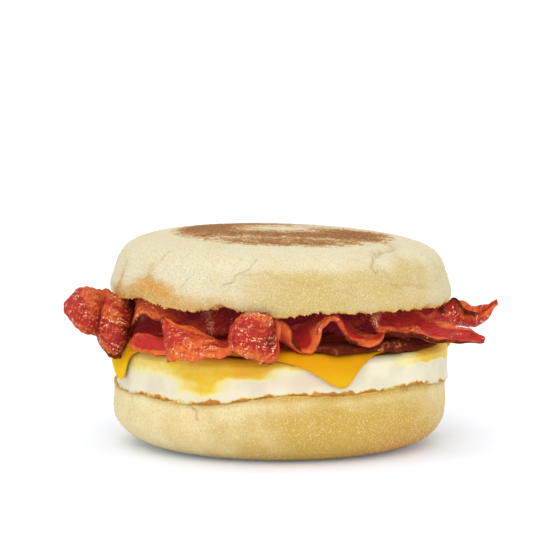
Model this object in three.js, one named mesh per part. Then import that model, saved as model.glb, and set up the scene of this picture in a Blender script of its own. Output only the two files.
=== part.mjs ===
// A breakfast sandwich: a split and toasted English muffin that holds a round fried egg, a draped
// slice of cheese and five rippled strips of bacon.
// Millimetres, +Z up. The origin is the centre of the flat base, and the front faces -Y.
import * as THREE from "three";

const DEGREE = Math.PI / 180;

// Lower muffin half
const HEEL_RADIUS = 47.6;
const HEEL_OFFSET = -0.4;
const HEEL_FOOT_SHIFT = 0.8;
const HEEL_HEIGHT = 19.1;
const HEEL_BASE_RADIUS = 31.8;
const HEEL_BELLY_HEIGHT = 11.6;
const HEEL_WAVE = 0.45;
const HEEL_SAG = 1.3;

// Upper muffin half, which leans a little to the right
const CROWN_RADIUS = 48.5;
const CROWN_HEIGHT = 18.7;
const CROWN_FLOOR = 42.5;
const CROWN_HOLLOW = 1.2;
const CROWN_LEAN = 1.6 * DEGREE;

// Egg
const EGG_RADIUS = 47.4;
const EGG_TOP = 29.7;
const EGG_TOP_ROUNDING = 2.6;
const EGG_LIP = 1.4;
const EGG_LEFT_DENT = 0.02;

// Cheese slice, with one corner hanging at the front right and one at the left
const CHEESE_SIDE = 84.5;
const CHEESE_OFFSET = -0.9;
const CHEESE_THICKNESS = 1.8;
const CHEESE_GAP = 0.6;
const CHEESE_SLACK = 0.4;
const CHEESE_TURN = -29 * DEGREE;
const CHEESE_SWING = 6 * DEGREE;
const CHEESE_CORNER_POWER = 12;

// Bacon
const BACON_THICKNESS = 1.8;
const FOLD_SPACING = 5.0;
const RIPPLE_LENGTH = 9.0;
const RIPPLE_HEIGHT = 0.35;
const UNDER_REACH = 48.0;
const UNDER_WIDTH = 8.5;
const UNDER_HUMP = 5.6;

// Free space left between pieces that touch
const GAP = 0.45;

// Facets
const ROUND_STEPS = 56;
const CROWN_STEPS = 60;
const ROUNDING_STEPS = 4;
const CHEESE_STEPS = 20;
const STRIP_WIDTH_STEPS = 5;

// Smooth lumps about `size` millimetres across, from -1 to 1.
function lumps(x, y, z, size) {
  const [a, b, c] = [x / size, y / size, z / size];
  return (
    (Math.sin(2.1 * a + 1.7 * Math.sin(1.3 * b + 0.4)) +
      Math.sin(1.9 * b + 1.3 * Math.sin(1.7 * c + 2.1)) +
      Math.sin(2.3 * c + 1.5 * Math.sin(1.1 * a + 4.2))) /
    3
  );
}

// A round bump of height 1 at `at` degrees, fading out over `spread` degrees each way.
function bumpAt(angle, at, spread) {
  const away = angle - at * DEGREE;
  const nearest = Math.atan2(Math.sin(away), Math.cos(away));
  return Math.exp(-((nearest / (spread * DEGREE)) ** 2));
}

// Rises smoothly from 0 to 1 as t goes from `from` to `to`.
function rise(t, from, to) {
  return THREE.MathUtils.smoothstep(t, from, to);
}

// Moves each vertex of a geometry by a function from (x, y, z) to a Vector3.
function shaped(geometry, place) {
  const position = geometry.getAttribute("position");
  const point = new THREE.Vector3();
  for (let i = 0; i < position.count; i++) {
    point.fromBufferAttribute(position, i);
    const moved = place(point.x, point.y, point.z);
    position.setXYZ(i, moved.x, moved.y, moved.z);
  }
  geometry.computeVertexNormals();
  return geometry;
}

// A solid of revolution about +Z from [radius, height] pairs that run from the bottom to the top.
function turned(profile, steps) {
  const points = profile.map(([r, h]) => new THREE.Vector2(r, h));
  return new THREE.LatheGeometry(points, steps).rotateX(Math.PI / 2);
}

// Points of an elliptical arc about [cr, ch], from angle `from` to angle `to` in degrees.
function arc(cr, ch, rr, rh, from, to, steps) {
  return Array.from({ length: steps + 1 }, (_, i) => {
    const angle = (from + ((to - from) * i) / steps) * DEGREE;
    return [cr + rr * Math.cos(angle), ch + rh * Math.sin(angle)];
  });
}

// Height of the lower muffin half's cut face: a shallow saddle with a wavy rim.
function heelTop(x, y) {
  const [a, b] = [x / HEEL_RADIUS, y / HEEL_RADIUS];
  const saddle = 0.6 * a - 0.4 * b - 0.4 * (a * a - b * b) - 1.4 * a * b;
  const angle = Math.atan2(y, x);
  const wave = HEEL_WAVE * Math.cos(7 * (angle + Math.PI / 2)) - HEEL_SAG * bumpAt(angle, -124, 28);
  return HEEL_HEIGHT + saddle + wave * Math.hypot(a, b) ** 5;
}

// The egg's outline, as a factor on its radius.
function eggOutline(angle) {
  const waves = 0.005 * Math.sin(2 * angle + 0.6) + 0.005 * Math.sin(3 * angle + 2.2);
  return 1 + waves - EGG_LEFT_DENT * bumpAt(angle, 180, 45);
}

function heelGeometry() {
  const profile = [
    [0, 0],
    [HEEL_BASE_RADIUS * 0.55, 0],
    ...arc(HEEL_BASE_RADIUS, HEEL_BELLY_HEIGHT, HEEL_RADIUS - HEEL_BASE_RADIUS,
      HEEL_BELLY_HEIGHT, -90, 0, 6),
    [HEEL_RADIUS - 0.1, 14.2],
    [HEEL_RADIUS - 0.4, 16.8],
    [HEEL_RADIUS - 1.2, HEEL_HEIGHT - 0.7],
    [HEEL_RADIUS - 2.8, HEEL_HEIGHT],
    [HEEL_RADIUS * 0.75, HEEL_HEIGHT],
    [HEEL_RADIUS * 0.4, HEEL_HEIGHT],
    [0, HEEL_HEIGHT],
  ];
  return shaped(turned(profile, ROUND_STEPS), (x, y, h) => {
    const up = h / HEEL_HEIGHT;
    const dent = 0.01 * up * lumps(x, y, 2 * h, 14);
    const shift = HEEL_OFFSET + HEEL_FOOT_SHIFT * (1 - rise(h, 2, HEEL_BELLY_HEIGHT));
    return new THREE.Vector3(x * (1 + dent) + shift, y * (1 + dent), up * (heelTop(x, y) - GAP / 2));
  });
}

// The egg's bottom lies on the muffin, and its top is level.
function eggGeometry() {
  const thickness = EGG_TOP - HEEL_HEIGHT;
  const side = EGG_RADIUS - EGG_TOP_ROUNDING;
  const profile = [
    [0, 0],
    [EGG_RADIUS * 0.5, 0],
    [EGG_RADIUS * 0.82, 0],
    ...arc(EGG_RADIUS - EGG_LIP, EGG_LIP, EGG_LIP, EGG_LIP, -90, 0, 3),
    ...arc(side, thickness - EGG_TOP_ROUNDING, EGG_TOP_ROUNDING, EGG_TOP_ROUNDING,
      0, 90, ROUNDING_STEPS),
    [EGG_RADIUS * 0.75, thickness],
    [EGG_RADIUS * 0.4, thickness],
    [0, thickness],
  ];
  return shaped(turned(profile, ROUND_STEPS), (x, y, h) => {
    const out = eggOutline(Math.atan2(y, x));
    const bottom = heelTop(x, y) + GAP / 2;
    return new THREE.Vector3(x * out, y * out, bottom + (EGG_TOP - bottom) * (h / thickness));
  });
}

// A point of the cheese that lies `reach` from the centre of the flat slice, measured over the
// egg's top and down its side, and `lift` above the slice's middle. The corners that hang swing
// a little to one side, and the bend stands off the egg's edge by CHEESE_SLACK.
function cheesePoint(reach, angle, lift) {
  const above = CHEESE_GAP + CHEESE_THICKNESS / 2 + lift;
  const bendRadius = EGG_TOP_ROUNDING + CHEESE_GAP + CHEESE_THICKNESS / 2;
  const swung = angle + CHEESE_SWING * rise(reach, EGG_RADIUS, CHEESE_SIDE * Math.SQRT1_2);
  const flat = EGG_RADIUS * eggOutline(swung) - EGG_TOP_ROUNDING + CHEESE_SLACK;
  const turn = THREE.MathUtils.clamp((reach - flat) / bendRadius, 0, Math.PI / 2);
  const hang = Math.max(reach - flat - (bendRadius * Math.PI) / 2, 0);
  const radius = Math.min(reach, flat) + (EGG_TOP_ROUNDING + above) * Math.sin(turn);
  const drop = (EGG_TOP_ROUNDING + above) * Math.cos(turn) - EGG_TOP_ROUNDING - hang;
  return new THREE.Vector3(radius * Math.cos(swung), radius * Math.sin(swung), EGG_TOP + drop);
}

function cheeseGeometry() {
  const steps = CHEESE_STEPS;
  // Grid lines crowd towards the edges, where the slice bends.
  const crowd = (t) => t * (1.3 - 0.3 * t * t);
  return shaped(new THREE.BoxGeometry(2, 2, 1, steps, steps, 1), (a, b, c) => {
    const [u, v] = [crowd(a), crowd(b)];
    const square = Math.max(Math.abs(u), Math.abs(v));
    const rounded = (Math.abs(u) ** CHEESE_CORNER_POWER + Math.abs(v) ** CHEESE_CORNER_POWER)
      ** (1 / CHEESE_CORNER_POWER);
    const scale = square ? (square / rounded) * (CHEESE_SIDE / 2) : 0;
    const flat = new THREE.Vector2(u, v).multiplyScalar(scale);
    flat.rotateAround(new THREE.Vector2(), CHEESE_TURN).x += CHEESE_OFFSET;
    return cheesePoint(flat.length(), flat.angle(), c * CHEESE_THICKNESS);
  });
}

// How far the upper muffin half's cut rim is lifted by its torn notches at each angle.
function rimLift(angle) {
  return 1.6 * bumpAt(angle, -147, 7) + 1.8 * bumpAt(angle, -110, 5) - 0.8 * bumpAt(angle, -127, 9)
    - 0.6 * bumpAt(angle, -90, 7) + 0.5 * bumpAt(angle, -42, 8) + 0.3 * Math.sin(5 * angle + 0.8)
    + 0.25 * Math.cos(angle);
}

function crownGeometry() {
  const rim = new THREE.SplineCurve([
    [46.6, 0.0], [48.1, 1.0], [48.3, 3.0], [47.6, 6.0], [46.7, 9.0], [45.5, 11.8],
    [43.1, 14.0], [39.4, 15.6], [34.8, 16.7], [29.0, 17.5],
  ].map(([r, h]) => new THREE.Vector2(r, h))).getPoints(15);
  const profile = [
    [0, CROWN_HOLLOW],
    [20, CROWN_HOLLOW],
    [38, CROWN_HOLLOW],
    ...rim.map((p) => [p.x, p.y]),
    [16, CROWN_HEIGHT - 0.3],
    [0, CROWN_HEIGHT],
  ];
  return shaped(turned(profile, CROWN_STEPS), (x, y, h) => {
    const angle = Math.atan2(y, x);
    const r = Math.hypot(x, y) / CROWN_RADIUS;
    const low = 1 - h / CROWN_HEIGHT;
    const dent = 0.01 * r * low * lumps(x, y, 2 * h, 13) + 0.005 * r * lumps(x, y, h, 22);
    const crumb = 0.3 * lumps(x, y, h, 4);
    return new THREE.Vector3(x * (1 + dent), y * (1 + dent),
      h + (rimLift(angle) * r ** 8 + crumb) * low ** 3);
  });
}

// Each strip of bacon lists its folds from left to right. A fold gives x, y and z of the strip's
// near edge, then x, y and z of its far edge, and how far its middle bulges out between them.
const FRONT_FOLDS = [
  [-31.0, -47.5, 29.0, -32.0, -41.5, 41.0, 0.4],
  [-29.4, -49.4, 29.8, -31.6, -40.6, 40.6, 1.4],
  [-26.4, -50.6, 30.8, -27.6, -39.8, 39.0, 1.6],
  [-23.0, -51.0, 30.2, -23.5, -39.0, 37.2, 1.4],
  [-18.5, -51.2, 31.4, -19.0, -40.0, 36.0, 1.0],
  [-14.0, -51.4, 31.9, -15.0, -43.6, 35.2, 0.6],
  [-10.5, -52.0, 31.0, -14.0, -48.5, 39.0, 1.2],
  [-6.0, -52.0, 30.6, -9.5, -51.5, 42.8, 2.6],
  [-1.8, -50.8, 31.8, -3.6, -50.0, 43.0, 2.0],
  [-0.2, -48.5, 36.5, -5.0, -41.0, 39.2, 1.2],
  [0.0, -47.6, 41.2, -7.6, -34.0, 39.4, -1.0],
  [3.2, -47.2, 38.0, -6.4, -32.5, 37.6, -1.8],
  [4.6, -47.4, 34.6, -4.6, -32.0, 36.4, -1.0],
  [6.2, -47.4, 32.6, -2.4, -31.5, 36.2, 0],
  [8.6, -47.2, 32.6, 0.6, -31.0, 36.4, 0.4],
  [10.2, -46.4, 35.0, 4.0, -31.0, 37.4, 0.2],
  [11.8, -45.6, 38.6, 7.8, -30.5, 38.6, 0],
  [14.4, -45.4, 42.2, 12.8, -30.0, 40.4, 0],
  [18.4, -44.4, 38.8, 17.6, -29.0, 38.4, 0],
  [23.4, -43.8, 34.2, 23.0, -28.5, 36.8, 1.0],
  [27.4, -42.4, 35.8, 26.8, -29.0, 35.4, 0],
];
const MIDDLE_LEFT_FOLDS = [
  [-60.6, -14.0, 38.4, -60.6, -12.0, 41.0, 0.8],
  [-58.0, -17.0, 36.2, -57.0, -12.0, 44.2, 1.2],
  [-54.2, -19.0, 34.2, -53.0, -12.0, 44.6, 2.2],
  [-50.8, -20.0, 32.0, -49.6, -13.0, 44.2, 0.2],
  [-48.4, -23.5, 29.8, -45.8, -15.5, 43.6, 1.8],
  [-46.4, -24.5, 28.8, -43.0, -15.5, 42.8, 1.4],
  [-44.4, -20.0, 28.2, -41.8, -10.0, 41.8, -0.4],
  [-42.0, -17.5, 31.2, -41.2, -5.0, 41.2, -0.6],
  [-40.6, -18.5, 36.0, -40.0, -3.0, 41.2, 0],
];
const MIDDLE_HOOD_FOLDS = [
  [-24.6, -25.0, 36.4, -25.0, -6.0, 36.2, 0],
  [-20.0, -29.5, 34.8, -20.4, -12.0, 38.4, 1.4],
  [-16.6, -30.0, 34.4, -16.6, -14.0, 40.2, 2.8],
  [-13.4, -29.0, 34.8, -12.6, -12.0, 37.6, 1.6],
];
const MIDDLE_RIGHT_FOLDS = [
  [25.2, -37.0, 40.8, 26.0, -17.0, 39.6, 0],
  [28.0, -37.0, 37.8, 29.6, -16.0, 37.4, 0],
  [31.6, -35.0, 36.0, 34.0, -15.0, 37.0, 0],
  [36.2, -32.5, 34.8, 39.6, -11.0, 37.8, -0.2],
  [40.8, -30.0, 33.4, 45.0, -13.0, 36.2, -0.6],
  [45.8, -27.0, 32.4, 50.0, -14.0, 34.0, -0.6],
  [51.0, -24.0, 32.0, 53.8, -15.0, 33.4, -0.4],
  [57.4, -19.6, 31.2, 57.6, -17.0, 31.8, 0],
];
const INNER_RIGHT_FOLDS = [
  [40.6, -4.0, 36.8, 41.4, 14.0, 36.4, -1.2],
  [46.0, -2.0, 39.6, 46.4, 12.0, 38.2, -3.8],
  [49.4, 0.0, 41.0, 50.2, 12.0, 38.8, -5.0],
  [52.6, 1.0, 38.8, 53.6, 11.0, 38.4, -4.6],
  [56.0, 2.0, 36.8, 56.4, 10.0, 37.6, -3.2],
  [59.4, 3.4, 37.8, 59.6, 8.6, 38.2, -1.8],
  [62.4, 5.0, 39.6, 62.2, 7.0, 40.1, 0],
];

// Folds of waves between two x positions, for a stretch that runs straight through the sandwich.
// `near` and `far` give each edge's y and its lowest and highest z, and `slant` is how far the
// folds lean to the right. Each wave takes a crest, a trough and the two slopes between them.
function waves({ from, to, count, near, far, slant = 3.4, start = 0 }) {
  const height = ([, low, high], swing) => low + ((high - low) * (swing + 1)) / 2;
  return Array.from({ length: 4 * count + 1 }, (_, i) => {
    const x = from + ((to - from) * i) / (4 * count);
    const swing = Math.cos((i * Math.PI) / 2 + start) * (0.86 + 0.14 * Math.sin(2.3 * i));
    const skew = slant + 1.2 * Math.sin(1.7 * i);
    return [x - skew, near[0], height(near, swing), x + skew, far[0], height(far, swing), 0];
  });
}

// Folds of the strip that lies along the egg's front rim, under the others. Its far edge stands up
// at the left, and it passes behind the two places where the strip in front of it comes down.
const UNDER_FOLDS = Array.from({ length: 17 }, (_, i) => {
  const angle = THREE.MathUtils.lerp(-147, -13, i / 16) * DEGREE;
  const hump = bumpAt(angle, -143, 10);
  const near = UNDER_REACH + 1.8 * hump - 5 * bumpAt(angle, -115, 6) - 14.5 * bumpAt(angle, -91, 14);
  const far = near - UNDER_WIDTH + 4 * hump;
  const [x, y] = [Math.cos(angle), Math.sin(angle)];
  return [near * x, near * y, EGG_TOP, far * x, far * y, EGG_TOP + UNDER_HUMP * hump, hump];
});

const MIDDLE_FOLDS = [
  ...MIDDLE_LEFT_FOLDS,
  ...waves({ from: -36.6, to: -30, count: 0.5, near: [-21.5, 37.4, 40.0], far: [-2, 40, 41.4],
    slant: 0 }),
  ...MIDDLE_HOOD_FOLDS,
  ...waves({ from: -8, to: 20, count: 1.5, near: [-27, 34.6, 40.4], far: [-8, 34.6, 39.8],
    slant: 2, start: Math.PI }),
  ...MIDDLE_RIGHT_FOLDS,
];
const INNER_FOLDS = [
  ...waves({ from: -42, to: 33, count: 4, near: [-1, 33.6, 41.4], far: [17, 33.6, 40.4],
    start: 0.75 * Math.PI }),
  ...INNER_RIGHT_FOLDS,
];
const BACK_FOLDS = [
  [-43.0, 28.5, 34.6, -45.0, 34.0, 36.4, 0],
  ...waves({ from: -38.5, to: 38.5, count: 4, near: [21, 33, 34.8], far: [42, 34, 40.4],
    slant: -3 }),
  [45.0, 29.0, 35.2, 43.5, 35.0, 37.6, 0],
];

// The larger of two heights, with the corner between them rounded off.
function eased(a, b) {
  return (a + b + Math.hypot(a - b, 0.3)) / 2;
}

// Whether the flat part of the cheese slice covers (x, y): 1 inside, 0 outside.
function cheeseCover(x, y) {
  const flat = new THREE.Vector2(x - CHEESE_OFFSET, y);
  flat.rotateAround(new THREE.Vector2(), -CHEESE_TURN);
  const inside = CHEESE_SIDE / 2 - Math.max(Math.abs(flat.x), Math.abs(flat.y));
  return rise(inside, -4.4, -1.8);
}

// Least height of a strip's middle surface above the egg and the cheese.
function stripFloor(x, y) {
  const beyond = Math.max(Math.hypot(x, y) - EGG_RADIUS * 1.01 + EGG_TOP_ROUNDING, 0);
  const cheese = cheeseCover(x, y) * (CHEESE_GAP + CHEESE_THICKNESS);
  const above = EGG_TOP_ROUNDING + cheese + GAP + BACON_THICKNESS / 2;
  return EGG_TOP - EGG_TOP_ROUNDING + Math.sqrt(Math.max(above ** 2 - beyond ** 2, 0));
}

// Greatest height of a strip's middle surface below the upper muffin half.
function stripCeiling(x, y) {
  const reach = Math.hypot(x, y);
  const open = reach > CROWN_RADIUS ? 20 * (reach - CROWN_RADIUS) : 0;
  const hollow = CROWN_HOLLOW * (1 - rise(reach, 38, 46));
  return CROWN_FLOOR + hollow + open - x * Math.tan(CROWN_LEAN) - GAP - BACON_THICKNESS / 2;
}

// Values of a list of rows at `t` from 0 to 1, on a smooth curve through all of them.
function between(rows, t) {
  const place = Math.min(t, 0.99999) * (rows.length - 1);
  const i = Math.floor(place);
  const s = place - i;
  const row = (k) => rows[THREE.MathUtils.clamp(k, 0, rows.length - 1)];
  const [p, q, r, w] = [row(i - 1), row(i), row(i + 1), row(i + 2)];
  return q.map((_, k) => {
    const [a, b] = [(r[k] - p[k]) / 2, (w[k] - q[k]) / 2];
    const turn = q[k] - r[k];
    return q[k] + s * (a + s * (-3 * turn - 2 * a - b + s * (2 * turn + a + b)));
  });
}

// A strip's solid: a long box bent along the strip's folds.
function stripGeometry(folds, steps) {
  // Middle surface at `along` and `across`, both from 0 to 1.
  const middle = (along, across) => {
    const fold = between(folds, along);
    const near = new THREE.Vector3(...fold);
    const far = new THREE.Vector3(...fold.slice(3));
    // A bulge leans half as far as the strip does, so that it doesn't pinch in a tight fold.
    const ahead = new THREE.Vector3(...between(folds, along + 0.002)).sub(near).normalize();
    const outward = ahead.add(new THREE.Vector3(1, 0, 0)).cross(far.clone().sub(near)).normalize();
    const edge = Math.abs(2 * across - 1) ** 3;
    const ripple = RIPPLE_HEIGHT * edge
      * Math.sin((2 * Math.PI * along * folds.length * FOLD_SPACING) / RIPPLE_LENGTH + 4 * across);
    const hump = 4 * across * (1 - across) * fold[6];
    const point = near.lerp(far, across).addScaledVector(outward, hump + ripple);
    point.z = eased(point.z, stripFloor(point.x, point.y));
    point.z = -eased(-point.z, -stripCeiling(point.x, point.y));
    return point;
  };
  return shaped(new THREE.BoxGeometry(1, 1, 1, steps, STRIP_WIDTH_STEPS, 1), (u, v, w) => {
    const along = (u + 0.5) * 0.996;
    const across = v + 0.5;
    const step = 1e-3;
    const ahead = middle(along + step, across).sub(middle(Math.max(along - step, 0), across));
    const [c0, c1] = [Math.max(across - step, 0), Math.min(across + step, 1)];
    const aside = middle(along, c1).sub(middle(along, c0));
    const normal = ahead.cross(aside).normalize();
    return middle(along, across).addScaledVector(normal, w * BACON_THICKNESS);
  });
}

function piece(name, geometry, colour, roughness) {
  const material = new THREE.MeshStandardMaterial({ color: colour, roughness, metalness: 0 });
  const mesh = new THREE.Mesh(geometry, material);
  mesh.name = name;
  return mesh;
}

const sandwich = new THREE.Group();

sandwich.add(piece("muffin_bottom", heelGeometry(), 0xe0bf78, 0.9));
sandwich.add(piece("egg", eggGeometry(), 0xf0e2ae, 0.5));
sandwich.add(piece("cheese", cheeseGeometry(), 0xe8a41f, 0.45));
sandwich.add(piece("bacon_under", stripGeometry(UNDER_FOLDS, 36), 0xb23a22, 0.35));
sandwich.add(piece("bacon_front", stripGeometry(FRONT_FOLDS, 76), 0xc84a24, 0.35));
sandwich.add(piece("bacon_middle", stripGeometry(MIDDLE_FOLDS, 78), 0xb23a22, 0.35));
sandwich.add(piece("bacon_inner", stripGeometry(INNER_FOLDS, 50), 0xb23a22, 0.35));
sandwich.add(piece("bacon_back", stripGeometry(BACK_FOLDS, 44), 0xb23a22, 0.35));

const crown = new THREE.Group();
crown.position.z = CROWN_FLOOR;
crown.rotation.y = CROWN_LEAN;
crown.add(piece("muffin_top", crownGeometry(), 0xe4d2a0, 0.9));
sandwich.add(crown);

export default sandwich;
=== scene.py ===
"""A breakfast sandwich: a toasted muffin with a round egg, a cheese slice and strips of bacon.

Every shape is worked out in millimetres, +Z up, with the origin at the centre of the flat base and
the front facing -Y, and is put into its mesh in metres.
"""

import math
from types import SimpleNamespace

import bpy
import numpy as np
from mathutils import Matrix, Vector


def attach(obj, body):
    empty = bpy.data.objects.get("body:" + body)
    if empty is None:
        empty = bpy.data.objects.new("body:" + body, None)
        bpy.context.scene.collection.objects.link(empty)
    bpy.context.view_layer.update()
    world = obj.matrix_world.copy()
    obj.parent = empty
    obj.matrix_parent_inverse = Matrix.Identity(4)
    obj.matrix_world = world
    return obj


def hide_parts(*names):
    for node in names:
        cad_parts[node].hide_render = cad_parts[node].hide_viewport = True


bl_info = {
    "name": "Breakfast Sandwich",
    "version": (1, 0, 0),
    "blender": (4, 5, 0),
    "location": "3D View > Sidebar > Sandwich",
    "description": "Builds a muffin sandwich with egg, cheese and bacon",
    "category": "Add Mesh",
}

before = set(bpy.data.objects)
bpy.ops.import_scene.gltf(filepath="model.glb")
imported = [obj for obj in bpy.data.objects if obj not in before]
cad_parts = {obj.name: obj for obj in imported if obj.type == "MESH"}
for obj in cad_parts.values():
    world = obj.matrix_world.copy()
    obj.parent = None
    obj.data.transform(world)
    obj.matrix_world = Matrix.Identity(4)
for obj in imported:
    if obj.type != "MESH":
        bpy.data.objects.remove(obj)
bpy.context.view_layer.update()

MM = 0.001
BODY = "root"

# Forms of the layers. Lengths are in millimetres, CRACK_LIP is a part of a crack's depth and
# EGG_LEFT_DENT one of the egg's radius, and the powers say how square the corners and edges of the
# cheese and the bacon are. CHEESE_FLOW is how far the cheese's UV map reaches from its centre.
HEEL_OFFSET = -0.4
HEEL_FOOT_SHIFT = 0.8
HEEL_BASE_RADIUS = 31.8
HEEL_BELLY_HEIGHT = 11.6
HEEL_WAVE = 0.45
HEEL_SAG = 1.3
DEEPEST_CRACK = 0.6
CRACK_LIP = 0.45
CRACK_LIP_REACH = 2.0
CROWN_HOLLOW = 1.2
CROWN_LEAN = math.radians(1.6)
CROWN_RIM = [
    [46.6, 0.0], [48.1, 1.0], [48.3, 3.0], [47.6, 6.0], [46.7, 9.0], [45.5, 11.8],
    [43.1, 14.0], [39.4, 15.6], [34.8, 16.7], [29.0, 17.5],
]
EGG_TOP_ROUNDING = 2.6
EGG_LIP = 0.4
EGG_LEFT_DENT = 0.02
CHEESE_OFFSET = -0.9
CHEESE_GAP = 0.15
CHEESE_ROOM = 2.0
CHEESE_SLACK = 0.4
CHEESE_TURN = math.radians(-29)
CHEESE_SWING = math.radians(6)
CHEESE_CORNER_POWER = 12
CHEESE_EDGE_POWER = 40
STRIP_EDGE_POWER = 8
CHEESE_FLOW = 0.04
FOLD_SPACING = 5.0
RIPPLE_LENGTH = 9.0
RIPPLE_HEIGHT = 0.35
STRIP_END = 0.996
UNDER_REACH = 46.9
UNDER_WIDTH = 8.5
UNDER_HUMP = 5.6
GAP = 0.15

# How the fried surface of the bacon is built up, in millimetres. A swell has its height and width.
BLISTER_HEIGHT = 0.40
BLISTER_SIZE = 1.9
FIBRE_HEIGHT = 0.08
SWELLS = ((0.50, 5.5), (0.34, 2.8))

# Rows and columns of the pieces' grids
HEEL_GRID = (132, 700)
CROWN_GRID = (136, 700)
EGG_GRID = (130, 640)
CHEESE_GRID = 170
STRIP_COLUMNS = 54
ROWS_PER_FOLD = 16

# The photograph's view, in metres
VIEW_TARGET = (-0.00086, 0.0, 0.0473)
VIEW_DISTANCE = 1.0
VIEW_ELEVATION = math.radians(6.6)
VIEW_LENS = 227.0

# Soft lights far away: the place that each shines from in metres, its strength, and how wide it looks
# in degrees
SUNS = {
    "top_light": ((-0.15, -0.05, 1.0), 0.55, 50),
    "front_light": ((-0.12, -1.0, 0.62), 0.97, 45),
    "side_light": ((1.0, -0.35, 0.35), 0.32, 45),
}
WORLD_STRENGTH = 0.79

# Small lamps that only make reflections glint, in metres and watts
LAMP_PLACES = [(-0.62, -0.60, 0.60), (-0.20, -0.85, 0.70), (0.45, -0.75, 0.55), (-0.80, 0.30, 0.60)]
LAMP_SIZE = 0.06
LAMP_WATTS = 2.0

# The floor reaches this far each way, in millimetres, and glows faintly so that it stays white
FLOOR_REACH = 8000.0
FLOOR_GLOW = (0.35, 0.62, 1.0, 1.0)
FLOOR_GLOW_STRENGTH = 0.13

# Tints that the finishes mix in, as linear colours
PALE_SAND = (0.95, 0.88, 0.62)
DARK_SAND = (0.40, 0.26, 0.08)
# Painted shade in the crust's cracks
PAINTED_CRACK_SHADE = (0.42, 0.27, 0.09)
RIM_GOLD = (0.66, 0.38, 0.09)
WARM_WHITE = (0.71, 0.64, 0.45)
ROSY_WHITE = (0.74, 0.57, 0.43)
PALE_YOLK = (0.84, 0.75, 0.24)
LIP_GOLD = (0.82, 0.62, 0.20)
LIP_BROWN = (0.47, 0.15, 0.03)
CHEESE_CLOUD = (0.60, 0.25, 0.004)
HANGING_CHEESE = (0.88, 0.56, 0.018)
DEEP_LEAN = (0.33, 0.012, 0.005)
RED_RIND = (0.62, 0.085, 0.016)
# Painted shade and painted highlight for the bacon's bead flanks, painted glints, and the colours of
# the bacon's painted glow
SHADED_MEAT = (0.24, 0.008, 0.002)
LIT_MEAT = (0.82, 0.23, 0.045)
GLINT = (1.0, 0.70, 0.42)
MEAT_GLOW = (0.046, 0.005, 0.008)
CRISP_GLOW = (0.010, 0.001, 0.0)

# Folds of the bacon, from left to right. A fold gives x, y and z of the strip's near edge, then x,
# y and z of its far edge, and how far its middle bulges out between them.
FRONT_FOLDS = [
    [-31.0, -47.5, 29.0, -32.0, -41.5, 41.4, 0.4],
    [-29.8, -49.4, 29.6, -32.0, -40.6, 41.0, 1.6],
    [-27.6, -50.6, 30.0, -28.6, -39.8, 39.4, 2.0],
    [-23.6, -51.0, 29.8, -23.5, -39.0, 37.4, 2.0],
    [-19.0, -51.2, 30.8, -19.0, -40.0, 35.6, 1.4],
    [-14.4, -51.0, 31.8, -15.0, -41.0, 33.2, 0.5],
    [-12.6, -51.8, 32.4, -12.6, -48.2, 41.2, 1.2],
    [-7.8, -52.2, 30.8, -9.0, -50.0, 43.2, 2.0],
    [-2.0, -51.2, 29.6, -3.2, -49.4, 43.3, 1.6],
    [-0.2, -48.5, 36.0, -4.8, -41.0, 39.2, 1.0],
    [0.0, -47.6, 41.2, -7.6, -34.0, 39.4, -1.0],
    [3.2, -47.2, 38.0, -6.4, -32.5, 37.6, -1.8],
    [4.6, -47.4, 34.6, -4.6, -32.0, 36.4, -1.0],
    [6.2, -47.4, 32.2, -2.4, -31.5, 36.2, 0],
    [8.8, -47.2, 32.0, 0.6, -31.0, 36.4, 0.4],
    [10.6, -46.4, 34.8, 4.0, -31.0, 37.4, 0.2],
    [11.8, -45.6, 38.6, 7.8, -30.5, 38.6, 0],
    [14.4, -45.4, 42.0, 12.8, -30.0, 40.4, 0],
    [17.2, -44.6, 37.2, 16.8, -29.0, 38.4, 0],
    [19.8, -44.4, 34.6, 19.8, -28.8, 36.4, 0.3],
    [23.6, -44.0, 33.8, 23.4, -28.5, 35.0, 0.4],
    [27.0, -43.2, 34.4, 26.2, -29.0, 34.8, 0.3],
    [28.0, -42.4, 37.2, 27.2, -30.0, 36.0, 0],
]
MIDDLE_LEFT_FOLDS = [
    [-61.0, -14.0, 38.4, -61.0, -12.0, 41.8, 0.8],
    [-58.6, -17.5, 36.0, -57.6, -12.0, 45.0, 1.8],
    [-54.8, -19.5, 33.8, -53.4, -12.0, 45.4, 3.2],
    [-51.2, -18.0, 31.8, -49.8, -10.0, 45.0, 0.6],
    [-48.8, -23.5, 28.4, -46.6, -11.0, 44.6, 2.6],
    [-46.0, -25.0, 26.9, -43.6, -11.0, 44.0, 2.6],
    [-43.4, -21.5, 27.4, -41.8, -8.0, 43.2, 0.2],
    [-42.0, -17.5, 31.2, -41.2, -5.0, 42.0, -0.6],
    [-40.8, -19.5, 35.6, -40.4, -5.0, 42.0, 0],
    [-38.6, -25.0, 39.4, -39.2, -8.0, 42.4, 1.6],
    [-34.4, -29.0, 39.2, -35.4, -11.0, 42.0, 1.8],
    [-30.2, -31.0, 37.8, -31.0, -12.0, 40.4, 1.4],
]
MIDDLE_HOOD_FOLDS = [
    [-24.6, -25.0, 36.4, -25.0, -6.0, 36.2, 0],
    [-20.0, -29.5, 34.8, -20.4, -12.0, 38.4, 1.4],
    [-16.6, -30.0, 34.4, -16.6, -14.0, 40.2, 2.8],
    [-13.4, -29.0, 34.8, -12.6, -12.0, 37.6, 1.6],
]
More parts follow.
